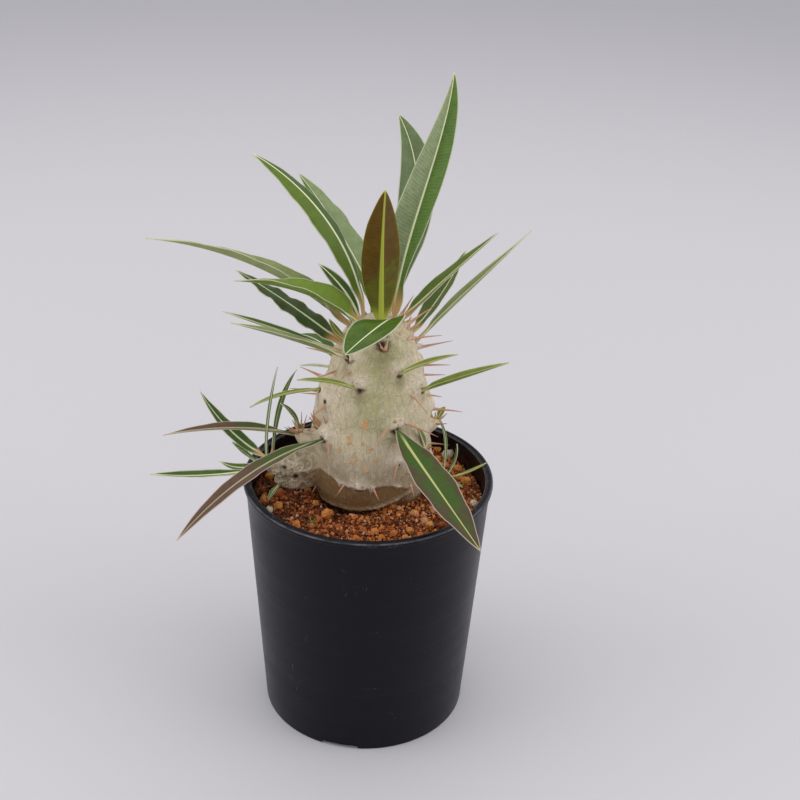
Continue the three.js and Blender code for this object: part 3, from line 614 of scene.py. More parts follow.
def grit_bed():
    bottom = FOOT_HEIGHT + POT_FLOOR + GRIT_CLEAR
    rim = pot_bore(GRIT_LEVEL) - GRIT_CLEAR
    profile = [(0, bottom), (pot_bore(bottom) - GRIT_CLEAR, bottom), (rim, GRIT_LEVEL)]
    profile += [(rim * (1 - k / GRIT_RINGS), GRIT_LEVEL) for k in range(1, GRIT_RINGS + 1)]
    bm = turned(profile, GRIT_STEPS)
    for vert in bm.verts:
        if vert.co.z > GRIT_LEVEL - 1:
            crumb = 0.5 * noise.noise(vert.co * 1.1) + 0.3 * noise.noise(vert.co * 2.3)
            vert.co.z = grit_height(vert.co.x, vert.co.y) + crumb
    return in_metres(bm)


def grain_shape(pick, corners):
    """An angular crumb of about unit radius: the hull of scattered points."""
    bm = bmesh.new()
    stretch = Vector([pick.uniform(0.6, 1.1) for _ in range(3)])
    for i in range(corners):
        spot = aimed(GOLDEN_TURN * i, math.degrees(math.asin(2 * (i + 0.5) / corners - 1)))
        spot = spot * pick.uniform(0.72, 1.12)
        bm.verts.new([a * b for a, b in zip(spot, stretch)])
    hull = bmesh.ops.convex_hull(bm, input=bm.verts)
    inner = [v for v in hull["geom_interior"] if isinstance(v, bmesh.types.BMVert)]
    bmesh.ops.delete(bm, geom=inner, context="VERTS")
    return mesh_of(bm)


def grain_spots(pick):
    """Place, radius, sinking and tone of each grain."""
    for count, smallest, largest, sink in GRAIN_KINDS:
        left = count
        while left:
            reach = (pot_bore(GRIT_LEVEL) - 0.8) * math.sqrt(pick.random())
            turn = 2 * math.pi * pick.random()
            size = lerp(smallest, largest, pick.random() ** 1.6)
            x, y = reach * math.cos(turn), reach * math.sin(turn)
            shade = pick.random()
            if reach + size > pot_bore(GRIT_LEVEL) - 0.2:
                continue
            from_axis = math.hypot(x - TRUNK_CENTRE[0], y - TRUNK_CENTRE[1])
            if from_axis < trunk_radius(GRIT_LEVEL) - 3:
                continue
            left -= 1
            shade *= 0.97
            # Painted shade, darker on the left and lighter on the right.
            lean = GRAIN_SHADE_SLOPE * x if shade < 0.85 else 0.0
            yield x, y, size, sink, min(shade + lean, max(shade, 0.85))
    for x, y, size, shade in LUMPS:
        yield x, y, LUMP_SIZE * size, 0.1, shade


def grit_grains(seed):
    """All loose grains in one mesh, each with its own tone."""
    pick = random.Random(seed)
    plain = [grain_shape(pick, PLAIN_CORNERS) for _ in range(GRAIN_SHAPES)]
    lumpy = [grain_shape(pick, LUMPY_CORNERS) for _ in range(LUMPY_SHAPES)]
    bm = bmesh.new()
    shades = []
    for x, y, size, sink, shade in grain_spots(pick):
        shape = pick.choice(lumpy if size > LUMPY_FROM else plain)
        spin = Quaternion([pick.uniform(-1, 1) for _ in range(4)]).normalized()
        lift = grit_height(x, y) + size * (pick.uniform(0.2, 0.8) - sink)
        place = Matrix.LocRotScale(Vector((x, y, lift)), spin, Vector((size,) * 3))
        placed = shape.copy()
        placed.transform(place)
        add_copy(bm, placed)
        shades += [shade] * len(shape.vertices)
    for shape in plain + lumpy:
        bpy.data.meshes.remove(shape)
    layer = bm.verts.layers.float.new("grain_tone")
    for vert, shade in zip(bm.verts, shades):
        vert[layer] = shade
    return in_metres(bm)


def trunk_spot(unit):
    """Where a point of a unit sphere goes on the trunk."""
    share = 1 - math.acos(min(max(unit.z, -1.0), 1.0)) / math.pi
    radius, height = outline_at(share)
    out = Vector((unit.x, unit.y, 0))
    skin = trunk_axis(height)
    if out.length < 1e-5:
        return skin
    out.normalize()
    skin += out * radius
    for place, _, stand, _, _ in ALL_SCARS:
        away = (skin - place).length / SCAR_SPREAD
        if away < 3:
            skin += out * stand * math.exp(-away * away)
    return skin


def shoot_spot(shoot, unit):
    """Where a point of a unit sphere goes on a side shoot."""
    start, end = Vector(shoot.start), Vector(shoot.end)
    share = (unit.z + 1) / 2
    upright = Vector((0, 0, 1)).rotation_difference((end - start).normalized())
    return start.lerp(end, share) + upright @ (unit * lerp(shoot.thick, shoot.thin, share))


def peak(away, width):
    return math.exp(-(away / width) ** 2)


def scar_relief(spot, scar):
    """How a leaf scar raises a place on the trunk, and its pit, the painted shadow below it and the
    pale skin with a painted highlight on its swelling.
    """
    place, turn, stand, width, depth = scar
    away = spot - place - aimed(turn, 0) * stand
    if away.length > SCAR_REACH:
        return 0.0, 0.0, 0.0, 0.0
    away += 0.9 * width * noise.noise_vector(spot * 0.6)
    across, up = away.dot(aimed(turn + 90, 0)), away.z
    pit = peak(math.hypot(across / 1.3, up), 1.3 * width)
    swelling = peak(math.hypot(across / 1.7, up - 1.4 * width - 1.1), 2.0)
    stain = peak(math.hypot(across, (up + 1.6 * width) / 1.7), 1.9 * width)
    return 1.1 * swelling - 1.2 * depth * pit, pit, stain, swelling


def spur_mask(turn, below):
    """The whitish points below the band's upper edge."""
    tall = smooth(below, -1.2, 0.0)
    return max(
        tall * smooth(1.7 * (1 - below / reach) - abs(math.radians(turn - at)) * 21, 0.0, 0.6)
        for at, reach in SPURS
    )


def flake_mask(spot):
    spot = spot + 0.8 * noise.noise_vector(spot * 0.8)
    mask = 0.0
    for turn, level, half_across, half_up in FLAKES:
        away = spot - on_trunk(turn, level)
        if away.length < 5:
            across = away.dot(aimed(turn + 90, 0)) / half_across
            mask = max(mask, peak(math.hypot(across, away.z / half_up), 1.0))
    return mask


def band_relief(spot, turn, rough):
    """How the bark band raises a place on the trunk, with its whitish edges, its brown skin and
    painted shade in the undercut below it.
    """
    turns, upper, lower = zip(*BAND)
    shown = smooth(turn, turns[0], turns[0] + 18) * (1 - smooth(turn, turns[-1] - 15, turns[-1]))
    below, above = np.interp(turn, turns, upper) - spot.z, spot.z - np.interp(turn, turns, lower)
    spur = shown * spur_mask(turn, below)
    edge = shown * (0.5 * peak(below, 0.5) + 0.8 * peak(above, 0.4)) * smooth(rough, 0.42, 0.62)
    brows = shown * (0.4 * peak(below + 0.3, 0.7) + 0.55 * peak(above - 0.3, 0.7))
    inside = shown * smooth(below, 0.0, 1.2) * smooth(above, 0.0, 1.0) * (1 - spur)
    # Painted shade: the undercut below the band takes the brown foot colour.
    under = shown * smooth(-above, 0.0, 1.4)
    foot = max(0.85 * inside, under, 1 - smooth(spot.z, 88.5, 91))
    return brows + 0.4 * spur - 0.4 * inside - 1.9 * under, max(spur, edge), min(foot, 1.0)


def lobe_relief(spot, rough):
    """How the wrinkles of the left shoots raise a place, with their crests and stains."""
    lobe = smooth(-spot.x, 16, 23) * (1 - smooth(spot.z, 103, 108))
    around = spot - Vector(LOBE_CENTRE)
    spin = math.atan2(around.z, around.x)
    ring_folds = noise.noise(Vector((2 * spin, 0.25 * around.length, 0.2 * spot.y)))
    cross_folds = noise.noise(Vector((0.5 * spot.x, 0.5 * spot.y, 0.9 * spot.z)))
    folds = min(abs(ring_folds), abs(cross_folds))
    crests = lobe * smooth(0.12 - folds, 0.0, 0.12) * (0.4 + 0.6 * rough)
    stains = lobe * (0.3 + 0.5 * rough) * smooth(folds, 0.1, 0.3)
    return lobe * (0.35 - 2.4 * folds), crests, stains


def skin_relief(spot):
    """Height of the fine relief at a place on the trunk, and the masks for its bark."""
    away = spot - trunk_axis(spot.z)
    turn = math.degrees(math.atan2(away.y, away.x)) % 360
    rough = 0.5 + 0.5 * noise.noise(spot * 0.9)
    rise = 0.35 * noise.noise(spot * 0.13) + 0.14 * noise.noise(spot * 0.45)
    pit = stain = pale = 0.0
    for scar in ALL_SCARS:
        lift, hole, mark, swelling = scar_relief(spot, scar)
        rise += lift
        # Painted shadow below each scar, and pale skin with a painted highlight on its swelling.
        pit, stain, pale = max(pit, hole), max(stain, mark), max(pale, 0.85 * swelling)
    for place, width in SHOOT_PITS:
        hole = peak((spot - Vector(place)).length, width)
        rise -= 0.9 * hole
        pit = max(pit, hole)
    band, edges, foot = band_relief(spot, turn, rough)
    folds, crests, stains = lobe_relief(spot, rough)
    green = peak((turn - 278) / 38, 1.0) * smooth(spot.z, 111, 124)
    # The darker ground of the shoots' wrinkles joins the painted scar shadow; whitish band edges
    # and wrinkle crests join the painted swelling highlights.
    stain, pale = max(stain, stains), min(max(pale, edges, crests), 1.0)
    return rise + band + folds, pit, stain, pale, foot, flake_mask(spot), green


def trunk_blank():
    """Trunk and shoots as overlapping closed bodies."""
    bm = bmesh.new()
    bmesh.ops.create_uvsphere(bm, u_segments=128, v_segments=140, radius=1)
    for vert in bm.verts:
        vert.co = trunk_spot(vert.co)
    for shoot in SHOOTS.values():
        knob = bmesh.ops.create_uvsphere(bm, u_segments=32, v_segments=26, radius=1)["verts"]
        for vert in knob:
            vert.co = shoot_spot(shoot, vert.co)
    return in_metres(bm)


def carved_trunk(blank, seed):
    """Remeshed skin of the trunk with its relief and the masks for its bark."""
    noise.seed_set(seed + 1)  # zero would seed it by the clock
    bm = bmesh.new()
    bm.from_mesh(blank)
    for _ in range(SKIN_SMOOTHING):
        bmesh.ops.smooth_vert(
            bm, verts=bm.verts, factor=0.5, use_axis_x=True, use_axis_y=True, use_axis_z=True,
        )
    bm.normal_update()
    layers = [bm.verts.layers.float.new(name) for name in BARK_MASKS]
    moves = []
    for vert in bm.verts:
        rise, *masks = skin_relief(vert.co / MM)
        for layer, mask in zip(layers, masks):
            vert[layer] = mask
        moves.append((vert, vert.normal * rise * MM))
    for vert, move in moves:
        vert.co += move
    return bm


def thorn_bed():
    """A mesh that holds thorns and how far each of their points is from the root."""
    bm = bmesh.new()
    bm.verts.layers.float.new("reach")
    return bm


def add_thorn(bm, root, direction, length, width, bend, flat=1.0, sides=8):
    """A curved thorn with a broad base. bend is how far its tip leaves the straight line."""
    single = thorn_bed()
    layer = single.verts.layers.float["reach"]
    bmesh.ops.create_cone(
        single, cap_ends=True, segments=sides, radius1=1, radius2=0.08, depth=1,
    )
    lengthwise = [edge for edge in single.edges if is_lengthwise(edge)]
    bmesh.ops.subdivide_edges(single, edges=lengthwise, cuts=SPINE_RINGS, use_grid_fill=True)
    upright = Vector((0, 0, 1)).rotation_difference(direction)
    for vert in single.verts:
        share = vert.co.z + 0.5
        spread = Vector((vert.co.x, vert.co.y, 0)).normalized()
        thick = width * (0.75 * (1 - share) + 0.65 * (1 - share) ** 5) + 0.07
        local = spread * thick
        local.y *= flat
        local.z = share * (length + SPINE_ROOT) - SPINE_ROOT
        vert[layer] = max(0.0, share)
        vert.co = root + upright @ local + bend * share * share
    add_copy(bm, mesh_of(single))


def is_lengthwise(edge):
    return abs(edge.verts[0].co.z - edge.verts[1].co.z) > 0.5


def spine_list(seed):
    """Root, direction and length of every spine on the trunk."""
    pick = random.Random(seed)
    for turn, height, heading, rise, length in SPINES:
        yield on_trunk(turn, height), aimed(heading, rise), length
    for turn, height in rear_scars():
        for side in (-1, 1):
            heading = turn + side * PAIR_SPREAD * pick.uniform(1 - PAIR_VARIETY, 1 + PAIR_VARIETY)
            length = PAIR_LENGTH * pick.uniform(1 - PAIR_VARIETY, 1 + PAIR_VARIETY)
            rise = pick.uniform(-PAIR_RISE, PAIR_RISE)
            yield on_trunk(turn + side * PAIR_OFFSET, height), aimed(heading, rise), length


def trunk_spines(seed):
    bm = thorn_bed()
    pick = random.Random(seed)
    for root, direction, length in spine_list(seed):
        bend = Vector((0, 0, pick.uniform(-0.9, 0.3))) * length / 10
        width = 0.62 + 0.02 * length
        add_thorn(bm, root, direction, length, width * pick.uniform(0.85, 1.1), bend, 0.75)
    return closed(bm)


def shoot_tufts(seed):
    """Short crowded spines and bud scales on the ends of the shoots."""
    bm = thorn_bed()
    pick = random.Random(seed)
    for name, count, length in TUFTS:
        shoot = SHOOTS[name]
        end = Vector(shoot.end)
        outward = (end - Vector(shoot.start)).normalized()
        for i in range(count):
            lean = aimed(GOLDEN_TURN * i, pick.uniform(-10, 55))
            direction = (outward * pick.uniform(0.4, 1.1) + lean).normalized()
            root = end + direction * shoot.thin * 0.85
            size = length * pick.uniform(0.6, 1.15)
            broad = pick.uniform(0.45, 0.9)
            bend = Vector((0, 0, pick.uniform(-0.4, 0.7)))
            add_thorn(bm, root, direction, size, broad, bend, pick.uniform(0.4, 0.8), 7)
    return closed(bm)


def scar_buds(seed):
    """Small pale bud scales beside the scars."""
    bm = thorn_bed()
    pick = random.Random(seed)
    for turn, height, count, length, rise in BUDS:
        for _ in range(count):
            aside = turn + pick.uniform(-5, 5)
            root = on_trunk(aside, height + pick.uniform(-0.8, 0.8)) + aimed(turn, 0) * 1.2
            direction = aimed(aside + pick.uniform(-45, 45), rise + pick.uniform(-20, 20))
            size = length * pick.uniform(0.6, 1.1)
            bend = Vector((0, 0, pick.uniform(0.0, 0.5)))
            add_thorn(bm, root, direction, size, pick.uniform(0.45, 0.75), bend, 0.6, 7)
    return closed(bm)


def leaf_seat(leaf):
    """Root point of a leaf, on the trunk or on a shoot's rounded end."""
    if leaf.root[0] not in SHOOTS:
        return on_trunk(*leaf.root)
    shoot, *aim = leaf.root
    return Vector(SHOOTS[shoot].end) + aimed(*aim) * SHOOTS[shoot].thin


def leaf_pose(leaf, reach):
    """Direction, side and upper face of a leaf at a reach from its root."""
    share = max(reach, 0) / leaf.length
    heading = leaf.heading + leaf.sweep * share
    ahead = aimed(heading, leaf.rise - leaf.droop * share)
    lean = math.radians(leaf.roll + leaf.twist * share)
    side = Quaternion(ahead, lean) @ aimed(heading - 90, 0)
    return ahead, side, side.cross(ahead)


def midrib(leaf, steps):
    """Point, reach and pose at each step along a leaf."""
    strides = steps * MIDRIB_FINE
    stride = (leaf.length + ROOT_DEPTH) / strides
    point = leaf_seat(leaf) - leaf_pose(leaf, 0)[0] * ROOT_DEPTH
    marks = []
    for i in range(strides + 1):
        reach = i * stride - ROOT_DEPTH
        if i % MIDRIB_FINE == 0:
            marks.append((point.copy(), reach, *leaf_pose(leaf, reach)))
        point += leaf_pose(leaf, reach + stride / 2)[0] * stride
    return marks


def half_width(leaf, share):
    """Half the blade's width at a share of its length."""
    skew = math.log(0.5) / math.log(leaf.widest)
    bulge = math.sin(math.pi * min(max(share, 0), 1) ** skew)
    blade = leaf.width / 2 * max(bulge, 0) ** leaf.full
    stalk = min(STALK_HALF_WIDTH, leaf.width / 4) if share < leaf.widest else TIP_HALF_WIDTH
    return max(blade, stalk)


def leaf_blade(leaf, wave_height, thin):
    """A leaf with a grooved midrib above, a keel below and waved margins."""
    steps = max(16, round(leaf.length / LEAF_STEP))
    cells = 2 * max(4, round(leaf.width / LEAF_CELL / 2))
    marks = midrib(leaf, steps)
    bm = bmesh.new()
    bmesh.ops.create_grid(bm, x_segments=cells, y_segments=steps, size=1)
    raised = bmesh.ops.extrude_face_region(bm, geom=bm.faces[:], use_keep_orig=True)["geom"]
    raised = [v for v in raised if isinstance(v, bmesh.types.BMVert)]
    bmesh.ops.translate(bm, verts=raised, vec=(0, 0, 1))
    names = ("from_rib", "from_margin", "from_root", "share", "upper")
    layers = [bm.verts.layers.float.new(name) for name in names]
    width, waves = leaf.width, leaf.waves
    wave_height = wave_height if leaf.wave is None else leaf.wave
    lead = leaf.length * 0.37
    for vert in bm.verts:
        column, row = vert.co.x, round((vert.co.y + 1) / 2 * steps)
        across = math.copysign(abs(column) ** LEAF_CROWDING, column)
        point, reach, ahead, side, face = marks[row]
        share = reach / leaf.length
        half = half_width(leaf, share)
        spread = smooth(share, STALK_SHARE, 3 * STALK_SHARE)
        phase = 2 * math.pi * waves * share + (WAVE_LEAD if across > 0 else 0)
        fade = min(1.0, WAVE_FADE * (1 - share))
        wave = math.sin(phase) * fade * wave_height * width * across * across
        crisp = 0.25 * math.sin(2.6 * phase + lead) * fade * wave_height * width * across ** 4
        off = abs(across) * half
        lift = spread * (off * math.tan(math.radians(leaf.fold)) + wave + crisp)
        round_off = math.sqrt(max(0.0, 1 - min(1.0, abs(across)) ** 2))
        stalk = STALK_THICK / 2 * round_off
        body = thin * lerp(0.5, 1.0, smooth(1 - abs(across), 0, 0.5)) * lerp(1, 0.7, share)
        above = lerp(stalk, body / 2 - 0.12 * peak(off, 0.35), spread)
        keel = 0.55 * lerp(1.0, 0.35, share) * peak(off, 0.5 + 0.03 * width)
        below = lerp(stalk, body / 2 + keel, spread)
        upper = vert.co.z > 0.5
        values = (across * half, (1 - abs(across)) * half, reach, share, float(upper))
        for layer, value in zip(layers, values):
            vert[layer] = value
        vert.co = point - side * across * half + face * (lift + (above if upper else -below))
    return closed(bm)


def crown_bases(seed):
    """Swollen stalk bases and dry scales around the roots of the crown leaves."""
    bm = thorn_bed()
    pick = random.Random(seed)
    for name, leaf in LEAVES.items():
        if "crown" not in name:
            continue
        ahead = leaf_pose(leaf, 0)[0]
        add_thorn(bm, leaf_seat(leaf) - ahead, ahead, 4.5, 1.6, Vector((0, 0, 0.4)), 0.9)
    for i in range(CROWN_SCALES):
        turn = GOLDEN_TURN * i
        height = lerp(*CROWN_SCALE_HEIGHTS, pick.random())
        root = on_trunk(turn, height)
        direction = aimed(turn + pick.uniform(-30, 30), pick.uniform(25, 80))
        size = pick.uniform(1.6, 3.6)
        add_thorn(bm, root, direction, size, pick.uniform(0.5, 0.9), Vector((0, 0, 0.3)), 0.45, 7)
    return closed(bm)


def sprout(seed):
    """A green seedling in the grit in front of the trunk."""
    bm = thorn_bed()
    pick = random.Random(seed)
    root = Vector((*SPROUT_PLACE, grit_height(*SPROUT_PLACE) + 0.6))
    for i in range(SPROUT_LEAVES):
        direction = aimed(61 * i, pick.uniform(15, 60))
        add_thorn(bm, root, direction, pick.uniform(1.4, 2.4), 0.75, Vector((0, 0, 0.4)), 0.4, 7)
    return closed(bm)


# Materials.

def put(socket, value):
    """Links a socket to a wire, or sets its own value."""
    if isinstance(value, Wire):
        socket.id_data.links.new(value.socket, socket)
    elif hasattr(value, "__len__") and socket.type == "RGBA":
        socket.default_value = (*value[:3], 1.0)
    else:
        socket.default_value = value


def laid(operation, swapped=False):
    """An operator between wires that lays a maths node."""
    def lay(wire, other):
        values = (other, wire) if swapped else (wire, other)
        return Board(wire.socket.id_data).maths(operation, *values)
    return lay


class Wire:
    """A value that runs between nodes. Its sums and products lay maths nodes."""
    __add__, __sub__, __rsub__ = laid("ADD"), laid("SUBTRACT"), laid("SUBTRACT", True)
    __mul__, __truediv__, __rtruediv__ = laid("MULTIPLY"), laid("DIVIDE"), laid("DIVIDE", True)

    def __init__(self, socket):
        self.socket = socket


class Board:
    """A node tree with short calls that lay nodes on it."""

    def __init__(self, tree):
        self.tree = tree

    def add(self, kind, *values, **settings):
        """Lays a node with values for its first sockets, and returns it."""
        made = self.tree.nodes.new(kind)
        for name, value in settings.items():
            setattr(made, name, value)
        for socket, value in zip(made.inputs, values):
            if value is not None:
                put(socket, value)
        return made

    def wire(self, kind, *values, output=0, **settings):
        """Lays a node and returns one of its outputs."""
        return Wire(self.add(kind, *values, **settings).outputs[output])

    def maths(self, operation, *values, clamp=False):
        return self.wire("ShaderNodeMath", *values, operation=operation, use_clamp=clamp)

    def mix(self, amount, first, second, way="MIX"):
        made = self.add("ShaderNodeMix", data_type="RGBA", blend_type=way)
        for index, value in ((0, amount), (6, first), (7, second)):
            put(made.inputs[index], value)
        return Wire(made.outputs[2])

    def step(self, value, low, high, start=0.0, end=1.0):
        """start below low, end above high, and a smooth change between."""
        return self.wire(
            "ShaderNodeMapRange", value, low, high, start, end, interpolation_type="SMOOTHSTEP",
        )

    def attribute(self, name):
        return self.wire("ShaderNodeAttribute", attribute_name=name, output="Fac")

    def place(self):
        return self.wire("ShaderNodeTexCoord", output="Object")

    def stretched(self, place, *scale):
        return self.wire("ShaderNodeMapping", place, None, None, scale)

    def noise(self, place, scale, detail=3.0, roughness=0.55, distortion=0.0):
        made = self.add("ShaderNodeTexNoise")
        for name, value in (
            ("Vector", place), ("Scale", scale), ("Detail", detail), ("Roughness", roughness),
            ("Distortion", distortion),
        ):
            put(made.inputs[name], value)
        return Wire(made.outputs[0])

    def group(self, title, **values):
        """Places a shared effect, which is made the first time."""
        tree = bpy.data.node_groups.get(title) or EFFECTS[title]()
        made = self.add("ShaderNodeGroup", node_tree=tree)
        for name, value in values.items():
            put(made.inputs[name.replace("_", " ").capitalize()], value)
        return {output.name: Wire(output) for output in made.outputs}

    def cloud(self, place, size, contrast):
        return self.group("Cloudy Patches", place=place, size=size, contrast=contrast)["Mask"]

    def wrinkles(self, place, spacing, waviness):
        values = dict(place=place, spacing=spacing, waviness=waviness)
        return self.group("Wavy Wrinkles", **values)["Mask"]


def effect(name, inputs, outputs):
    """An empty node group. Its sockets are given as kinds, each with a list of labels."""
    tree = bpy.data.node_groups.new(name, "ShaderNodeTree")
    for way, sockets in (("INPUT", inputs), ("OUTPUT", outputs)):
        for kind, labels in sockets.items():
            for label in labels.split(", "):
                tree.interface.new_socket(label, in_out=way, socket_type="NodeSocket" + kind)
    board = Board(tree)
    given = {socket.name: Wire(socket) for socket in board.add("NodeGroupInput").outputs}
    return board, given, board.add("NodeGroupOutput").inputs


def cloudy_effect():
    """Soft patches of two sizes, as a mask around one half."""
    board, given, result = effect(
        "Cloudy Patches", {"Vector": "Place", "Float": "Size, Contrast"}, {"Float": "Mask"},
    )
    scale = 1.0 / given["Size"]
    broad = board.noise(given["Place"], scale, 2.0, 0.5)
    fine = board.noise(given["Place"], scale * 4.3, 3.0, 0.6)
    pushed = (broad * 0.6 + fine * 0.4 - 0.5) * given["Contrast"]
    put(result["Mask"], board.maths("ADD", pushed, 0.5, clamp=True))
    return board.tree


def wrinkle_effect():
    """Thin wavy lines that run mostly up and down, as a mask."""
    board, given, result = effect(
        "Wavy Wrinkles", {"Vector": "Place", "Float": "Spacing, Waviness"}, {"Float": "Mask"},
    )
    drawn = board.stretched(given["Place"], 1.0, 1.0, 0.35)
    field = board.noise(drawn, 1.0 / given["Spacing"], 2.0, 0.55, given["Waviness"])
    put(result["Mask"], board.step(board.maths("ABSOLUTE", field - 0.5), 0.0, 0.06, 1.0, 0.0))
    return board.tree


def leaf_effect():
    """Colour, relief and gloss of a leaf from its distances in millimetres."""
    board, given, result = effect(
        "Leaf Surface",
        {
            "Color": "Plus half, Minus half, Under, Rib, Margin, Mottle, Stalk",
            "Float": "Mottling, Edge bias, Root bias, Veins, Rib width, Margin width, Patches",
        },
        {"Color": "Colour", "Float": "Roughness, Height"},
    )
    names = ("from_rib", "from_margin", "from_root", "share", "upper")
    across, edge, along, share, upper = (board.attribute(name) for name in names)
    place = board.place()
    off = board.maths("ABSOLUTE", across)
    cloud = board.noise(place, 190.0, 4.0, 0.6)
    # Side veins: slanting lines that stop short of the midrib and the margin.
    run = along - off * 0.35 + board.noise(place, 260.0, 2.0) * 1.6
    wave = board.maths("COSINE", run * (2 * math.pi / VEIN_SPACING))
    vein = board.maths("POWER", wave * 0.5 + 0.5, 3.0)
    vein = vein * board.step(off, 0.3, 1.1) * board.step(edge, 0.2, 0.9)
    vein = vein * board.step(board.noise(place, 620.0, 2.0), 0.4, 0.6, 0.35, 1.0)
    # The two halves, the underside and the mottling.
    face = board.mix(board.step(across, -0.05, 0.05), given["Minus half"], given["Plus half"])
    face = board.mix(board.step(upper, 0.35, 0.65), given["Under"], face)
    outer = off / (off + edge + 0.01)
    pushed = cloud + given["Edge bias"] * (outer - 0.5) + given["Root bias"] * (0.42 - share)
    mottle = board.step(pushed, 0.4, 0.64) * given["Mottling"]
    face = board.mix(mottle, face, given["Mottle"])
    tint = board.noise(place, 420.0, 3.0) * 0.5 + 0.75
    tint = tint + (cloud - 0.5) * given["Patches"] - vein * given["Veins"]
    grey = board.wire("ShaderNodeCombineColor", tint, tint, tint)
    face = board.mix(1.0, face, grey, "MULTIPLY")
    # Midrib, stalk and margin.
    width = given["Rib width"] * board.step(share, 0.0, 1.0, 1.2, 0.4)
    rib = board.step(off / width, 0.7, 1.15, 1.0, 0.0)
    face = board.mix(rib, face, given["Rib"])
    stalk = board.step(cloud * 0.08 + share, 0.08, 0.2, 0.9, 0.0)
    face = board.mix(stalk, face, given["Stalk"])
    rim = board.step(edge / given["Margin width"], 0.4, 1.0, 1.0, 0.0)
    put(result["Colour"], board.mix(rim * 0.85, face, given["Margin"]))
    put(result["Roughness"], cloud * 0.2 + 0.36 + rib * 0.1)
    grain = board.noise(place, 1500.0, 2.0)
    put(result["Height"], rib * 0.5 - vein * 0.2 + grain * 0.3)
    return board.tree


EFFECTS = {
    "Cloudy Patches": cloudy_effect, "Wavy Wrinkles": wrinkle_effect, "Leaf Surface": leaf_effect,
}


def blank_finish(name, specular):
    """A material, the board of its tree and its place on the piece."""
    made = bpy.data.materials.new(name)
    made.use_nodes = True
    board = Board(made.node_tree)
    put(made.node_tree.nodes["Principled BSDF"].inputs["Specular IOR Level"], specular)
    return made, board, board.place()


def dressed(made, colour, roughness, height, depth):
    """Gives a material its colour, roughness and relief. depth is in metres."""
    inputs = made.node_tree.nodes["Principled BSDF"].inputs
    bump = Board(made.node_tree).add("ShaderNodeBump")
    put(bump.inputs["Height"], height)
    put(bump.inputs["Distance"], depth)
    put(inputs["Base Color"], colour)
    put(inputs["Roughness"], roughness)
    put(inputs["Normal"], Wire(bump.outputs[0]))
    return made


def radius_of(board, place):
    """Distance of a place from the pot's middle line, and its height."""
    x, y, z = (Wire(part) for part in board.add("ShaderNodeSeparateXYZ", place).outputs)
    return board.maths("SQRT", x * x + y * y), z


def pot_finish(pot):
    made, board, place = blank_finish("pot_plastic", pot.gloss)
    radius, height = radius_of(board, place)
    cloud = board.cloud(place, 0.02, 1.6)
    # Scratches and scuffs where the wall is worn.
    worn = board.step(board.noise(place, 55.0, 3.0), 0.56, 0.66)
    drawn = board.stretched(place, 1.0, 1.0, 0.25)
    scratch = board.step(board.noise(drawn, 700.0, 2.0, 0.5, 0.6), 0.7, 0.76) * worn
    scuff = board.step(board.noise(place, 300.0, 4.0, 0.65, 0.8), 0.6, 0.7) * worn
    marks = board.maths("MAXIMUM", scratch * 0.7, scuff * 0.4)
    shade = board.mix(cloud * 0.5, pot.plastic, pot.plastic_worn)
    shade = board.mix(marks * 0.3, shade, pot.scuff)
    # Crumbs on the rim, and painted highlights along both brinks of its top.
    crumbs = board.step(board.noise(place, 450.0, 4.0, 0.7), 0.55, 0.7)
    rim = board.step(height, 0.0925, 0.0945) * crumbs
    shade = board.mix(rim * 0.15, shade, pot.scuff)
    outer = board.step(radius, 0.0443, 0.0447)
    brink_highlights = board.maths("ADD", outer, board.step(radius, 0.0423, 0.0426, 1.0, 0.0), clamp=True)
    uneven = board.step(board.noise(place, 140.0, 4.0, 0.7), 0.35, 0.65, 0.1, 0.45)
    crest = board.step(height, 0.0949, 0.0953)
    shade = board.mix(crest * brink_highlights * uneven, shade, pot.scuff)
    # Brown dust inside, just above the grit.
    inner = board.maths("LESS_THAN", radius, (FOOT_RADIUS + 4.7) * MM)
    inner = inner * board.step(height, 0.085, 0.0875) * board.step(height, 0.088, 0.0925, 1.0, 0.0)
    silt = board.step(board.noise(place, 300.0, 4.0, 0.65), 0.42, 0.62) * inner
    shade = board.mix(silt * 0.8, shade, pot.silt)
    gloss = cloud * 0.14 + 0.28 + marks * 0.25 + silt * 0.4
    # Faint rings of the moulding.
    level = board.stretched(place, 0.02, 0.02, 1.0)
    rings = board.noise(level, 260.0, 3.0, 0.6) * 0.3 + board.noise(level, 60.0, 1.0) * 1.4
    relief = rings + board.noise(place, 2600.0, 2.0) * 0.08 - scratch
    return dressed(made, shade, gloss, relief, 0.0003)


def grit_finish(name, grit, loose):
    """Crumbly fired clay. Loose grains take their tone from the mesh."""
    made, board, place = blank_finish(name, 0.3)
    cloud = board.cloud(place, 0.0012, 2.2)
    # The bed between the loose grains keeps to the dark end of the ramp: painted shade in the gaps.
    shade = board.attribute("grain_tone") + cloud * 0.14 - 0.07 if loose else cloud * 0.25
    ramp = board.add("ShaderNodeValToRGB", shade)
    rows = [
        (0.04, grit.dark), (0.3, grit.red), (0.7, grit.orange), (0.85, grit.ochre),
        (0.91, grit.dust), (0.97, grit.pumice),
    ]
    stops = ramp.color_ramp.elements
    while len(stops) < len(rows):
        stops.new(0.5)
    for stop, (at, shade) in zip(stops, rows):
        stop.position, stop.color = at, (*shade, 1.0)
    crumb = board.add("ShaderNodeTexVoronoi")
    put(crumb.inputs["Vector"], place)
    put(crumb.inputs["Scale"], 1900.0)
    crumb = Wire(crumb.outputs["Distance"])
    pale = board.step(crumb, 0.1, 0.4, 1.0, 0.0) * 0.35
    relief = board.noise(place, 1400.0, 4.0, 0.7) - crumb * 0.6
    shade = board.mix(pale, Wire(ramp.outputs[0]), grit.dust)
    return dressed(made, shade, cloud * 0.2 + 0.72, relief, 0.0006)


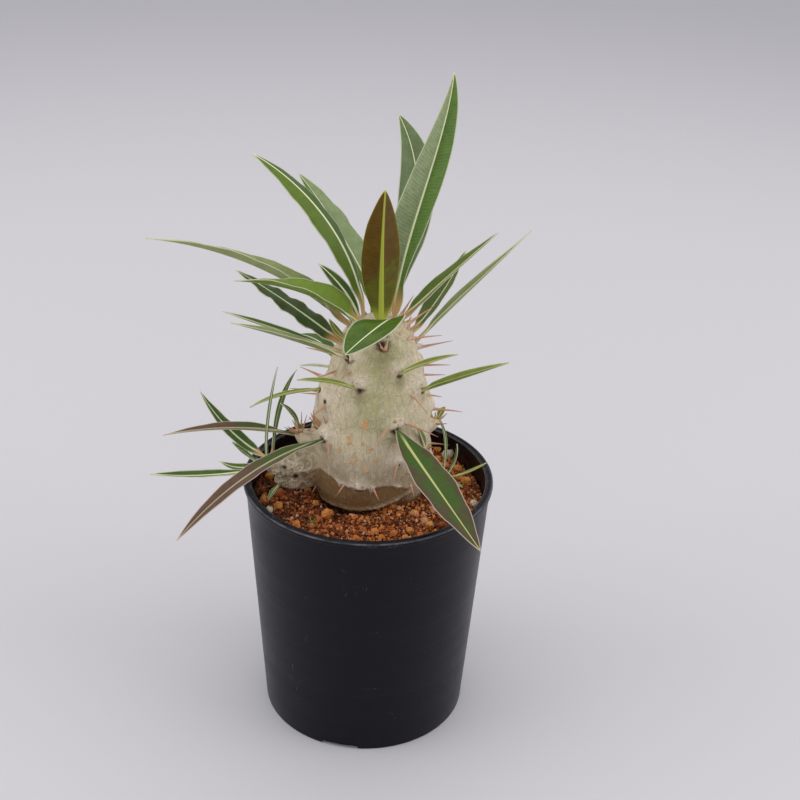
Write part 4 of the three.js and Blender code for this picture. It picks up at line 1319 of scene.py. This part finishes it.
def bark_finish(trunk):
    made, board, place = blank_finish("bark", 0.35)
    height = board.wire("ShaderNodeSeparateXYZ", place, output=2)
    pit, stain, pale, foot, flake, green = (board.attribute(name) for name in BARK_MASKS)
    broad, fine = board.cloud(place, 0.012, 3.2), board.cloud(place, 0.003, 2.2)
    line = board.wrinkles(place, 0.0016, 1.0)
    ragged = board.noise(place, 900.0, 3.0) * 0.7 - 0.35
    cast = board.maths("ADD", green * 0.75, broad * 0.5, clamp=True)
    shade = board.mix(cast, trunk.bark, trunk.bark_green)
    low = board.step(broad * 0.009 + height, 0.102, 0.12, 1.0, 0.0)
    shade = board.mix(low * 0.85, shade, trunk.bark_low)
    shade = board.mix(fine * 0.3 + 0.12, shade, trunk.bark_line)
    shade = board.mix(line * 0.3, shade, trunk.peel_and_highlight)
    flake = board.step(flake + ragged, 0.3, 0.5)
    shade = board.mix(flake * 0.75, shade, trunk.flake)
    # Painted shadow below each leaf scar, and the darker ground of the shoots' wrinkles.
    shade = board.mix(stain * 0.5, shade, trunk.stain)
    # Brown skin above the grit, with painted shade in the undercut below the band.
    shade = board.mix(foot, shade, board.mix(line * 0.4, trunk.foot, trunk.bark_low))
    # Whitish peeling skin, with a painted highlight on top of each scar's swelling.
    shade = board.mix(pale * (line * 0.3 + 0.62), shade, trunk.peel_and_highlight)
    shade = board.mix(board.step(pit + ragged * 0.5, 0.2, 0.85), shade, trunk.pit)
    relief = line * 0.35 + board.noise(place, 1700.0, 3.0, 0.6) * 0.3 + flake * 0.3
    return dressed(made, shade, broad * 0.15 + 0.5, relief, 0.0005)


def spine_finish(name, bloom, low, high, tip):
    """A spine or scale in three colours from its base to its tip, under a pale bloom."""
    made, board, place = blank_finish(name, 0.35)
    reach = board.attribute("reach")
    cloud = board.cloud(place, 0.003, 2.0)
    shade = board.mix(board.step(reach, 0.08, 0.4), low, high)
    shade = board.mix(board.step(reach, 0.6, 1.0), shade, tip)
    shade = board.mix(cloud * 0.3, shade, bloom)
    return dressed(made, shade, cloud * 0.2 + 0.42, board.wrinkles(place, 0.0006, 0.3), 0.0001)


def floor_finish(stage):
    """A matt table with painted shade that darkens it with distance, where the light falls off."""
    made, board, place = blank_finish("studio_floor", 0.15)
    radius, _ = radius_of(board, place)
    shade = board.mix(board.step(radius, 0.42, 1.25), stage.floor_near, stage.floor_far)
    shade = board.mix(board.cloud(place, 0.35, 0.3) * 0.06, shade, stage.floor_far)
    return dressed(made, shade, 0.6, board.noise(place, 900.0, 2.0), 0.00003)


# Slots of the leaves that aren't plain green.
LEAF_SLOTS = {
    "bright": "leaf_bright", "fresh": "leaf_bright", "bronze": "leaf_bronze",
    "mottled": "leaf_purple", "purple": "leaf_purple", "striped": "leaf_purple",
}
LEAF_PARTS = "plus_half minus_half under rib margin mottle stalk".split()
LEAF_VALUES = "mottling edge_bias root_bias veins rib_width margin_width patches".split()
# Kinds of leaf: the colours of those parts, then those values.
LEAF_KINDS = {
    # The grey leaf's halves are painted light: a half with a painted sheen and a shaded half.
    "grey": ("grey grey_far pale_under rib margin green stalk", 0.15, 0, 0, 0.32, 0.42, 0.35, 0.3),
    "dull": ("dull dull pale_under rib margin dark stalk", 0.3, 0, 0, 0.15, 0.4, 0.35, 0.3),
    "pale": ("green pale pale_under rib margin green stalk", 0.2, 0, 0, 0.08, 0.4, 0.35, 0.3),
    "soft": ("soft soft soft olive_rib margin green stalk", 0.3, 0, 0.4, 0.05, 0.3, 0.3, 0.3),
    "two_tone": ("bright tan tan rib margin dark stalk", 0.2, 0, 0, 0.08, 0.4, 0.3, 0.3),
    "dark": ("dark dark pale_under rib margin green stalk", 0.3, 0, 0, 0.1, 0.42, 0.4, 0.3),
    "dusky": ("dark dark pale_under rib margin maroon stalk", 0.5, 0.4, -0.1, 0.1, 0.45, 0.4, 0.3),
    "lush": ("lush lush pale_under rib margin bright dark", 0.35, 0, 0, 0.1, 0.55, 0.6, 0.3),
    "mid": ("green green pale_under rib margin dark stalk", 0.3, 0, 0, 0.1, 0.4, 0.3, 0.3),
    "bright": ("bright lush pale rib margin dark stalk", 0.25, 0, 0, 0.08, 0.52, 0.35, 0.3),
    "fresh": ("fresh fresh fresh rib margin bright stalk", 0.4, 0, 0, 0.08, 0.3, 0.35, 0.3),
    "olive": (
        "olive olive olive olive_rib olive_rib bright olive",
        0.4, 0, 0.5, 0.05, 0.3, 0.25, 0.3,
    ),
    "bronze": (
        "green green bronze bronze_rib bronze_rib bronze_root bronze_rib",
        0.85, 0, 0.8, 0.3, 0.85, 0.12, 0.4,
    ),
    "mottled": (
        "mottled mottled purple olive_rib pink_margin maroon dark",
        0.9, 0.3, -0.3, 0.06, 0.5, 0.45, 0.5,
    ),
    "purple": (
        "purple purple purple dull_rib pink_margin dark dark",
        0.85, -0.1, 1.1, 0.06, 0.4, 0.3, 0.35,
    ),
    "striped": (
        "purple purple purple dull_rib pink_margin dark dark",
        0.8, 0, 0.9, 0.06, 0.55, 0.25, 0.35,
    ),
    "young": ("young young young rib margin green young", 0.3, 0, 0, 0.06, 0.11, 0.07, 0.3),
}


def leaf_finish(kind, foliage):
    made, board, _ = blank_finish("leaf_" + kind, 0.26)
    shades, *values = LEAF_KINDS[kind]
    looks = dict(zip(LEAF_PARTS, (getattr(foliage, shade) for shade in shades.split())))
    surface = board.group("Leaf Surface", **looks, **dict(zip(LEAF_VALUES, values)))
    return dressed(made, surface["Colour"], surface["Roughness"], surface["Height"], 0.00012)


# What a user may change.

def length(name, description, default):
    return bpy.props.FloatProperty(
        name=name, description=description, default=default, min=0.0, subtype="DISTANCE",
        unit="LENGTH", precision=4,
    )


def share(name, description, default, top=1.0):
    return bpy.props.FloatProperty(
        name=name, description=description, default=default, min=0.0, max=top, subtype="FACTOR",
    )


def colour(name, description, *shade):
    return bpy.props.FloatVectorProperty(
        name=name, description=description, default=tone(*shade), min=0.0, max=1.0, size=3,
        subtype="COLOR",
    )


def seed(name, description, default):
    return bpy.props.IntProperty(name=name, description=description, default=default, min=0)


class PotLooks(bpy.types.PropertyGroup):
    gloss: share("Gloss", "Strength of the plastic's reflection", 0.2)
    plastic: colour("Plastic", "Black plastic", 5, 5, 15)
    plastic_worn: colour("Worn plastic", "Plastic where it is handled", 10, 10, 20)
    # Scuffs and scratches, also the colour of the painted highlights along the lip's brinks.
    scuff: colour("Scuff", "Scuffs and scratches", 132, 132, 140)
    silt: colour("Silt", "Brown dust inside the rim", 84, 58, 42)


class GritLooks(bpy.types.PropertyGroup):
    seed: seed("Grain seed", "Arrangement of the grains", 41)
    # The darkest grains, and the bed between the grains, which is painted shade in the gaps.
    dark: colour("Dark grain", "Damp or shaded clay", 48, 20, 10)
    red: colour("Red grain", "Red-brown clay", 162, 82, 38)
    orange: colour("Orange grain", "Orange-brown clay", 212, 124, 64)
    ochre: colour("Ochre grain", "Ochre lumps", 236, 160, 76)
    pumice: colour("Pumice", "White grains", 226, 214, 190)
    dust: colour("Clay dust", "Pale crumbs on the grains", 226, 164, 120)


class TrunkLooks(bpy.types.PropertyGroup):
    voxel: length("Skin detail", "Cell size of the remeshed bark", SKIN_VOXEL * MM)
    seed: seed("Bark seed", "Ragged outlines of the leaf scars and flakes", 4)
    bark: colour("Bark", "Silvery bark", 248, 230, 202)
    bark_green: colour("Green bark", "Bark with a green cast", 180, 176, 126)
    bark_low: colour("Low bark", "Grey-brown bark of the lower trunk", 158, 138, 110)
    bark_line: colour("Bark lines", "Ground between the wavy lines", 140, 126, 90)
    flake: colour("Flakes", "Orange-tan flakes of bark", 222, 164, 106)
    # Painted shadow below each leaf scar, also the darker ground of the shoots' wrinkles.
    stain: colour("Scar stain", "Brown skin below a leaf scar", 118, 108, 66)
    # Brown skin, also painted shade in the undercut below the band.
    foot: colour("Foot", "Brown skin just above the grit", 134, 98, 56)
    # Whitish peeling skin, also a painted highlight on top of each scar's swelling.
    peel_and_highlight: colour("Peeling skin", "Whitish skin over swellings and edges", 238, 222, 206)
    pit: colour("Pit", "Dark hollow of a leaf scar", 70, 38, 28)


class SpineLooks(bpy.types.PropertyGroup):
    seed: seed("Spine seed", "Curves of the spines", 7)
    base: colour("Spine base", "Broad base of a spine", 226, 204, 178)
    middle: colour("Spine", "Pinkish middle of a spine", 212, 156, 118)
    tip: colour("Spine tip", "Tip of a spine", 184, 104, 62)
    callus: colour("Bud base", "Brown base of a bud scale", 136, 98, 56)
    dry: colour("Dry scale", "Dry scales on the shoots", 132, 84, 58)
    stalk: colour("Stalk base", "Swollen base of a crown leaf", 214, 178, 128)
    dust: colour("Pale bloom", "Bloom on spines and scales", 216, 196, 176)


class LeafLooks(bpy.types.PropertyGroup):
    thickness: length("Blade thickness", "Thickness of a blade beside its midrib", 0.45 * MM)
    waviness: share("Waviness", "Height of the margin's waves as a share of the width", 0.018)
    green: colour("Green", "Plain green leaf", 92, 116, 44)
    dark: colour("Dark green", "Dark leaf", 64, 92, 38)
    lush: colour("Lush green", "Ground of the leaf in front of the crown", 68, 96, 24)
    # Painted light: the two halves of a grey-green leaf are a lit, sheened copy and a shaded copy
    # of one green.
    grey: colour("Grey green", "Pale half of a grey-green leaf", 150, 162, 122)
    grey_far: colour("Grey green, far half", "Darker half of a grey-green leaf", 92, 122, 54)
    dull: colour("Dull green", "Greyish matt leaf", 112, 128, 88)
    pale: colour("Pale green", "Pale sheen on a leaf's far half", 146, 162, 116)
    soft: colour("Soft green", "Thin pale leaf", 148, 158, 104)
    tan: colour("Tan green", "Underside turned to the viewer", 152, 146, 98)
    bright: colour("Bright green", "Sunlit half of a green leaf", 100, 122, 42)
    fresh: colour("Fresh green", "Yellow-green leaf", 114, 138, 44)
    olive: colour("Olive", "Narrow olive leaf", 128, 144, 66)
    olive_rib: colour("Olive rib", "Midrib of an olive leaf", 196, 194, 128)
    young: colour("Young leaf", "Small leaf of a side shoot", 96, 118, 68)
    bronze: colour("Bronze", "Underside of the bronze leaf", 98, 72, 10)
    bronze_root: colour("Bronze root", "Olive root end of the bronze leaf", 96, 100, 14)
    bronze_rib: colour("Bronze rib", "Rib of the bronze leaf", 172, 182, 66)
    mottled: colour("Mottled green", "Green ground of a mottled leaf", 62, 92, 28)
    maroon: colour("Maroon", "Dark blotches of a mottled leaf", 80, 66, 44)
    purple: colour("Purple brown", "Purple-brown leaf", 98, 74, 60)
    pale_under: colour("Underside", "Pale underside of a green leaf", 142, 154, 98)
    rib: colour("Midrib", "Cream midrib", 234, 236, 194)
    dull_rib: colour("Dull midrib", "Midrib of a purple leaf", 178, 170, 134)
    stalk: colour("Stalk", "Tan stalk of a crown leaf", 214, 170, 116)
    margin: colour("Margin", "Pale edge of a leaf", 216, 218, 184)
    pink_margin: colour("Pink margin", "Edge of a purple leaf", 206, 182, 164)


class StageLooks(bpy.types.PropertyGroup):
    floor_near: colour("Floor", "Table around the pot", 210, 208, 212)
    # Painted shade of the table further off, where the light falls off.
    floor_far: colour("Far floor", "Table further off", 180, 178, 184)
    ambient: share("Ambient light", "Strength of the light from all round", 0.77, 4.0)
    overhead: bpy.props.FloatProperty(
        name="Overhead light", description="Power of the softbox above", default=3.0, min=0.0,
        unit="POWER",
    )
    side: bpy.props.FloatProperty(
        name="Side light", description="Power of each softbox at the sides", default=5.0,
        min=0.0, unit="POWER",
    )
    lens: bpy.props.FloatProperty(
        name="Lens", description="Focal length of the camera in millimetres", default=68.0,
        min=1.0, subtype="DISTANCE_CAMERA",
    )


# Steps.

class PotBuild(bpy.types.Operator):
    """Turn the nursery pot, cut its drain holes and foot notches, and finish the plastic"""
    bl_idname = "pachypodium.pot"
    bl_label = "Nursery pot"

    def execute(self, context):
        looks = context.scene.pachypodium_pot
        bm = in_metres(turned(pot_profile(), POT_STEPS))
        made = piece("nursery_pot", bm, pot_finish(looks), "pot_plastic", ["pot"])
        cutters = pot_cutters()
        cut = made.modifiers.new("cuts", "BOOLEAN")
        cut.operation = "DIFFERENCE"
        cut.object = cutters
        settled(made)
        bpy.data.objects.remove(cutters)
        sharpen(made)
        return {"FINISHED"}


class GritBuild(bpy.types.Operator):
    """Fill the pot with grit and scatter loose grains over it"""
    bl_idname = "pachypodium.grit"
    bl_label = "Grit"

    def execute(self, context):
        looks = context.scene.pachypodium_grit
        bed = grit_finish("grit_bed", looks, False)
        piece("grit_bed", grit_bed(), bed, "grit", ["soil"])
        loose = grit_finish("grit_loose", looks, True)
        piece("grit_grains", grit_grains(looks.seed), loose, "grit", shade_smooth=False)
        fresh = context.scene.pachypodium_leaf.fresh
        bloom = context.scene.pachypodium_spine.dust
        green = spine_finish("sprout", bloom, fresh, fresh, fresh)
        piece("grit_sprout", sprout(looks.seed), green, "leaf_green")
        return {"FINISHED"}


class TrunkBuild(bpy.types.Operator):
    """Model the trunk with its side shoots, leaf scars and peeling bark"""
    bl_idname = "pachypodium.trunk"
    bl_label = "Trunk"

    def execute(self, context):
        looks = context.scene.pachypodium_trunk
        blank = helper("trunk_blank", trunk_blank())
        skin = blank.modifiers.new("skin", "REMESH")
        skin.mode = "VOXEL"
        skin.voxel_size = looks.voxel
        settled(blank)
        bm = carved_trunk(blank.data, looks.seed)
        bpy.data.objects.remove(blank)
        piece("trunk_bark", bm, bark_finish(looks), "bark", ["trunk"])
        return {"FINISHED"}


class SpineBuild(bpy.types.Operator):
    """Grow the spines, the tufts on the shoots and the stalk bases of the crown"""
    bl_idname = "pachypodium.spines"
    bl_label = "Spines and scales"

    def execute(self, context):
        looks = context.scene.pachypodium_spine
        for name, make, finish, shades in (
            ("trunk_spines", trunk_spines, "spine", (looks.base, looks.middle, looks.tip)),
            ("shoot_tufts", shoot_tufts, "dry_scale", (looks.dry, looks.middle, looks.dry)),
            ("scar_buds", scar_buds, "bud_scale", (looks.callus, looks.stalk, looks.tip)),
            ("crown_bases", crown_bases, "stalk_base", (looks.middle, looks.stalk, looks.stalk)),
        ):
            piece(name, make(looks.seed), spine_finish(finish, looks.dust, *shades), "bark")
        return {"FINISHED"}


def grow_leaves(context, *starts):
    """Makes the leaves whose names have one of those starts."""
    looks = context.scene.pachypodium_leaf
    leaves = {name: leaf for name, leaf in LEAVES.items() if name.startswith(starts)}
    kinds = dict.fromkeys(leaf.finish for leaf in leaves.values())
    finishes = {kind: leaf_finish(kind, looks) for kind in kinds}
    for name, leaf in leaves.items():
        bm = leaf_blade(leaf, looks.waviness, looks.thickness / MM)
        slot = LEAF_SLOTS.get(leaf.finish, "leaf_green")
        piece("blade_" + name, bm, finishes[leaf.finish], slot, ["leaf_" + name])
    return {"FINISHED"}


class CrownLeafBuild(bpy.types.Operator):
    """Grow the leaves of the crown"""
    bl_idname = "pachypodium.crown_leaves"
    bl_label = "Crown leaves"

    def execute(self, context):
        return grow_leaves(context, "crown", "right_dark", "right_long", "left")


class TrunkLeafBuild(bpy.types.Operator):
    """Grow the single leaves on the trunk"""
    bl_idname = "pachypodium.trunk_leaves"
    bl_label = "Trunk leaves"

    def execute(self, context):
        return grow_leaves(context, "trunk", "droop", "rear")


class ShootLeafBuild(bpy.types.Operator):
    """Grow the leaves of the side shoots"""
    bl_idname = "pachypodium.shoot_leaves"
    bl_label = "Shoot leaves"

    def execute(self, context):
        return grow_leaves(context, "shoot", "right_shoot", "right_bud")


class StageBuild(bpy.types.Operator):
    """Lay the pale floor, set the soft lights and place the camera at the photograph's view"""
    bl_idname = "pachypodium.stage"
    bl_label = "Stage"

    def execute(self, context):
        looks = context.scene.pachypodium_stage
        scene = context.scene
        scene.view_settings.view_transform = "Standard"
        bm = bmesh.new()
        bmesh.ops.create_circle(bm, cap_ends=True, segments=128, radius=FLOOR_RADIUS)
        floor = helper("studio_floor", bm)
        floor.data.materials.append(floor_finish(looks))
        floor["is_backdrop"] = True
        world = bpy.data.worlds.new("studio_light")
        world.use_nodes = True
        sky = world.node_tree.nodes["Background"].inputs
        sky["Color"].default_value = (*AMBIENT_TINT, 1.0)
        sky["Strength"].default_value = looks.ambient
        scene.world = world
        for name, (place, size, power) in SOFTBOXES.items():
            softbox(name, place, size, getattr(looks, power))
        lens = bpy.data.cameras.new("photo_view")
        lens.lens = looks.lens
        camera = bpy.data.objects.new("photo_view", lens)
        camera.matrix_world = (
            Matrix.Translation(CAMERA_PLACE)
            @ Matrix.Rotation(math.radians(90 - CAMERA_PITCH), 4, "X")
            @ Matrix.Rotation(math.radians(CAMERA_ROLL), 4, "Z")
        )
        scene.collection.objects.link(camera)
        scene.camera = camera
        return {"FINISHED"}


def softbox(name, place, size, power):
    """A square light that faces the plant."""
    lamp = bpy.data.lights.new(name, "AREA")
    lamp.size = size
    lamp.energy = power
    made = bpy.data.objects.new(name, lamp)
    made.location = place
    aim = Vector((0, 0, 0.1)) - Vector(place)
    made.rotation_euler = aim.to_track_quat("-Z", "Y").to_euler()
    bpy.context.scene.collection.objects.link(made)


def sharpen(made):
    """Smooth shading with crisp turned edges."""
    made.data.shade_smooth()
    bm = bmesh.new()
    bm.from_mesh(made.data)
    for edge in bm.edges:
        edge.smooth = not (edge.is_manifold and edge.calc_face_angle(0) > math.radians(35))
    bm.to_mesh(made.data)
    bm.free()


BUILDS = (
    PotBuild, GritBuild, TrunkBuild, SpineBuild, CrownLeafBuild, TrunkLeafBuild, ShootLeafBuild,
    StageBuild,
)
LOOKS = dict(
    pachypodium_pot=PotLooks, pachypodium_grit=GritLooks, pachypodium_trunk=TrunkLooks,
    pachypodium_spine=SpineLooks, pachypodium_leaf=LeafLooks, pachypodium_stage=StageLooks,
)


class PachypodiumPanel(bpy.types.Panel):
    """Builds each part of the plant and its pot"""
    bl_idname = "VIEW3D_PT_pachypodium"
    bl_label = "Pachypodium"
    bl_space_type = "VIEW_3D"
    bl_region_type = "UI"
    bl_category = "Pachypodium"

    def draw(self, context):
        for build in BUILDS:
            self.layout.operator(build.bl_idname)
        for name, looks in LOOKS.items():
            box = self.layout.box()
            for label in looks.__annotations__:
                box.prop(getattr(context.scene, name), label)


def register():
    for looks in LOOKS.values():
        bpy.utils.register_class(looks)
    for name, looks in LOOKS.items():
        setattr(bpy.types.Scene, name, bpy.props.PointerProperty(type=looks))
    for build in (*BUILDS, PachypodiumPanel):
        bpy.utils.register_class(build)


def unregister():
    for build in (PachypodiumPanel, *reversed(BUILDS)):
        bpy.utils.unregister_class(build)
    for name, looks in reversed(LOOKS.items()):
        delattr(bpy.types.Scene, name)
        bpy.utils.unregister_class(looks)


def main():
    register()
    bpy.ops.pachypodium.pot()
    bpy.ops.pachypodium.grit()
    bpy.ops.pachypodium.trunk()
    bpy.ops.pachypodium.spines()
    bpy.ops.pachypodium.crown_leaves()
    bpy.ops.pachypodium.trunk_leaves()
    bpy.ops.pachypodium.shoot_leaves()
    bpy.ops.pachypodium.stage()
    boxes = {"cad": CAD_BOX, "visual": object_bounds()}
    lines = {key: [[float(x) for x in corner] for corner in box] for key, box in boxes.items()}


if __name__ == "__main__":
    main()
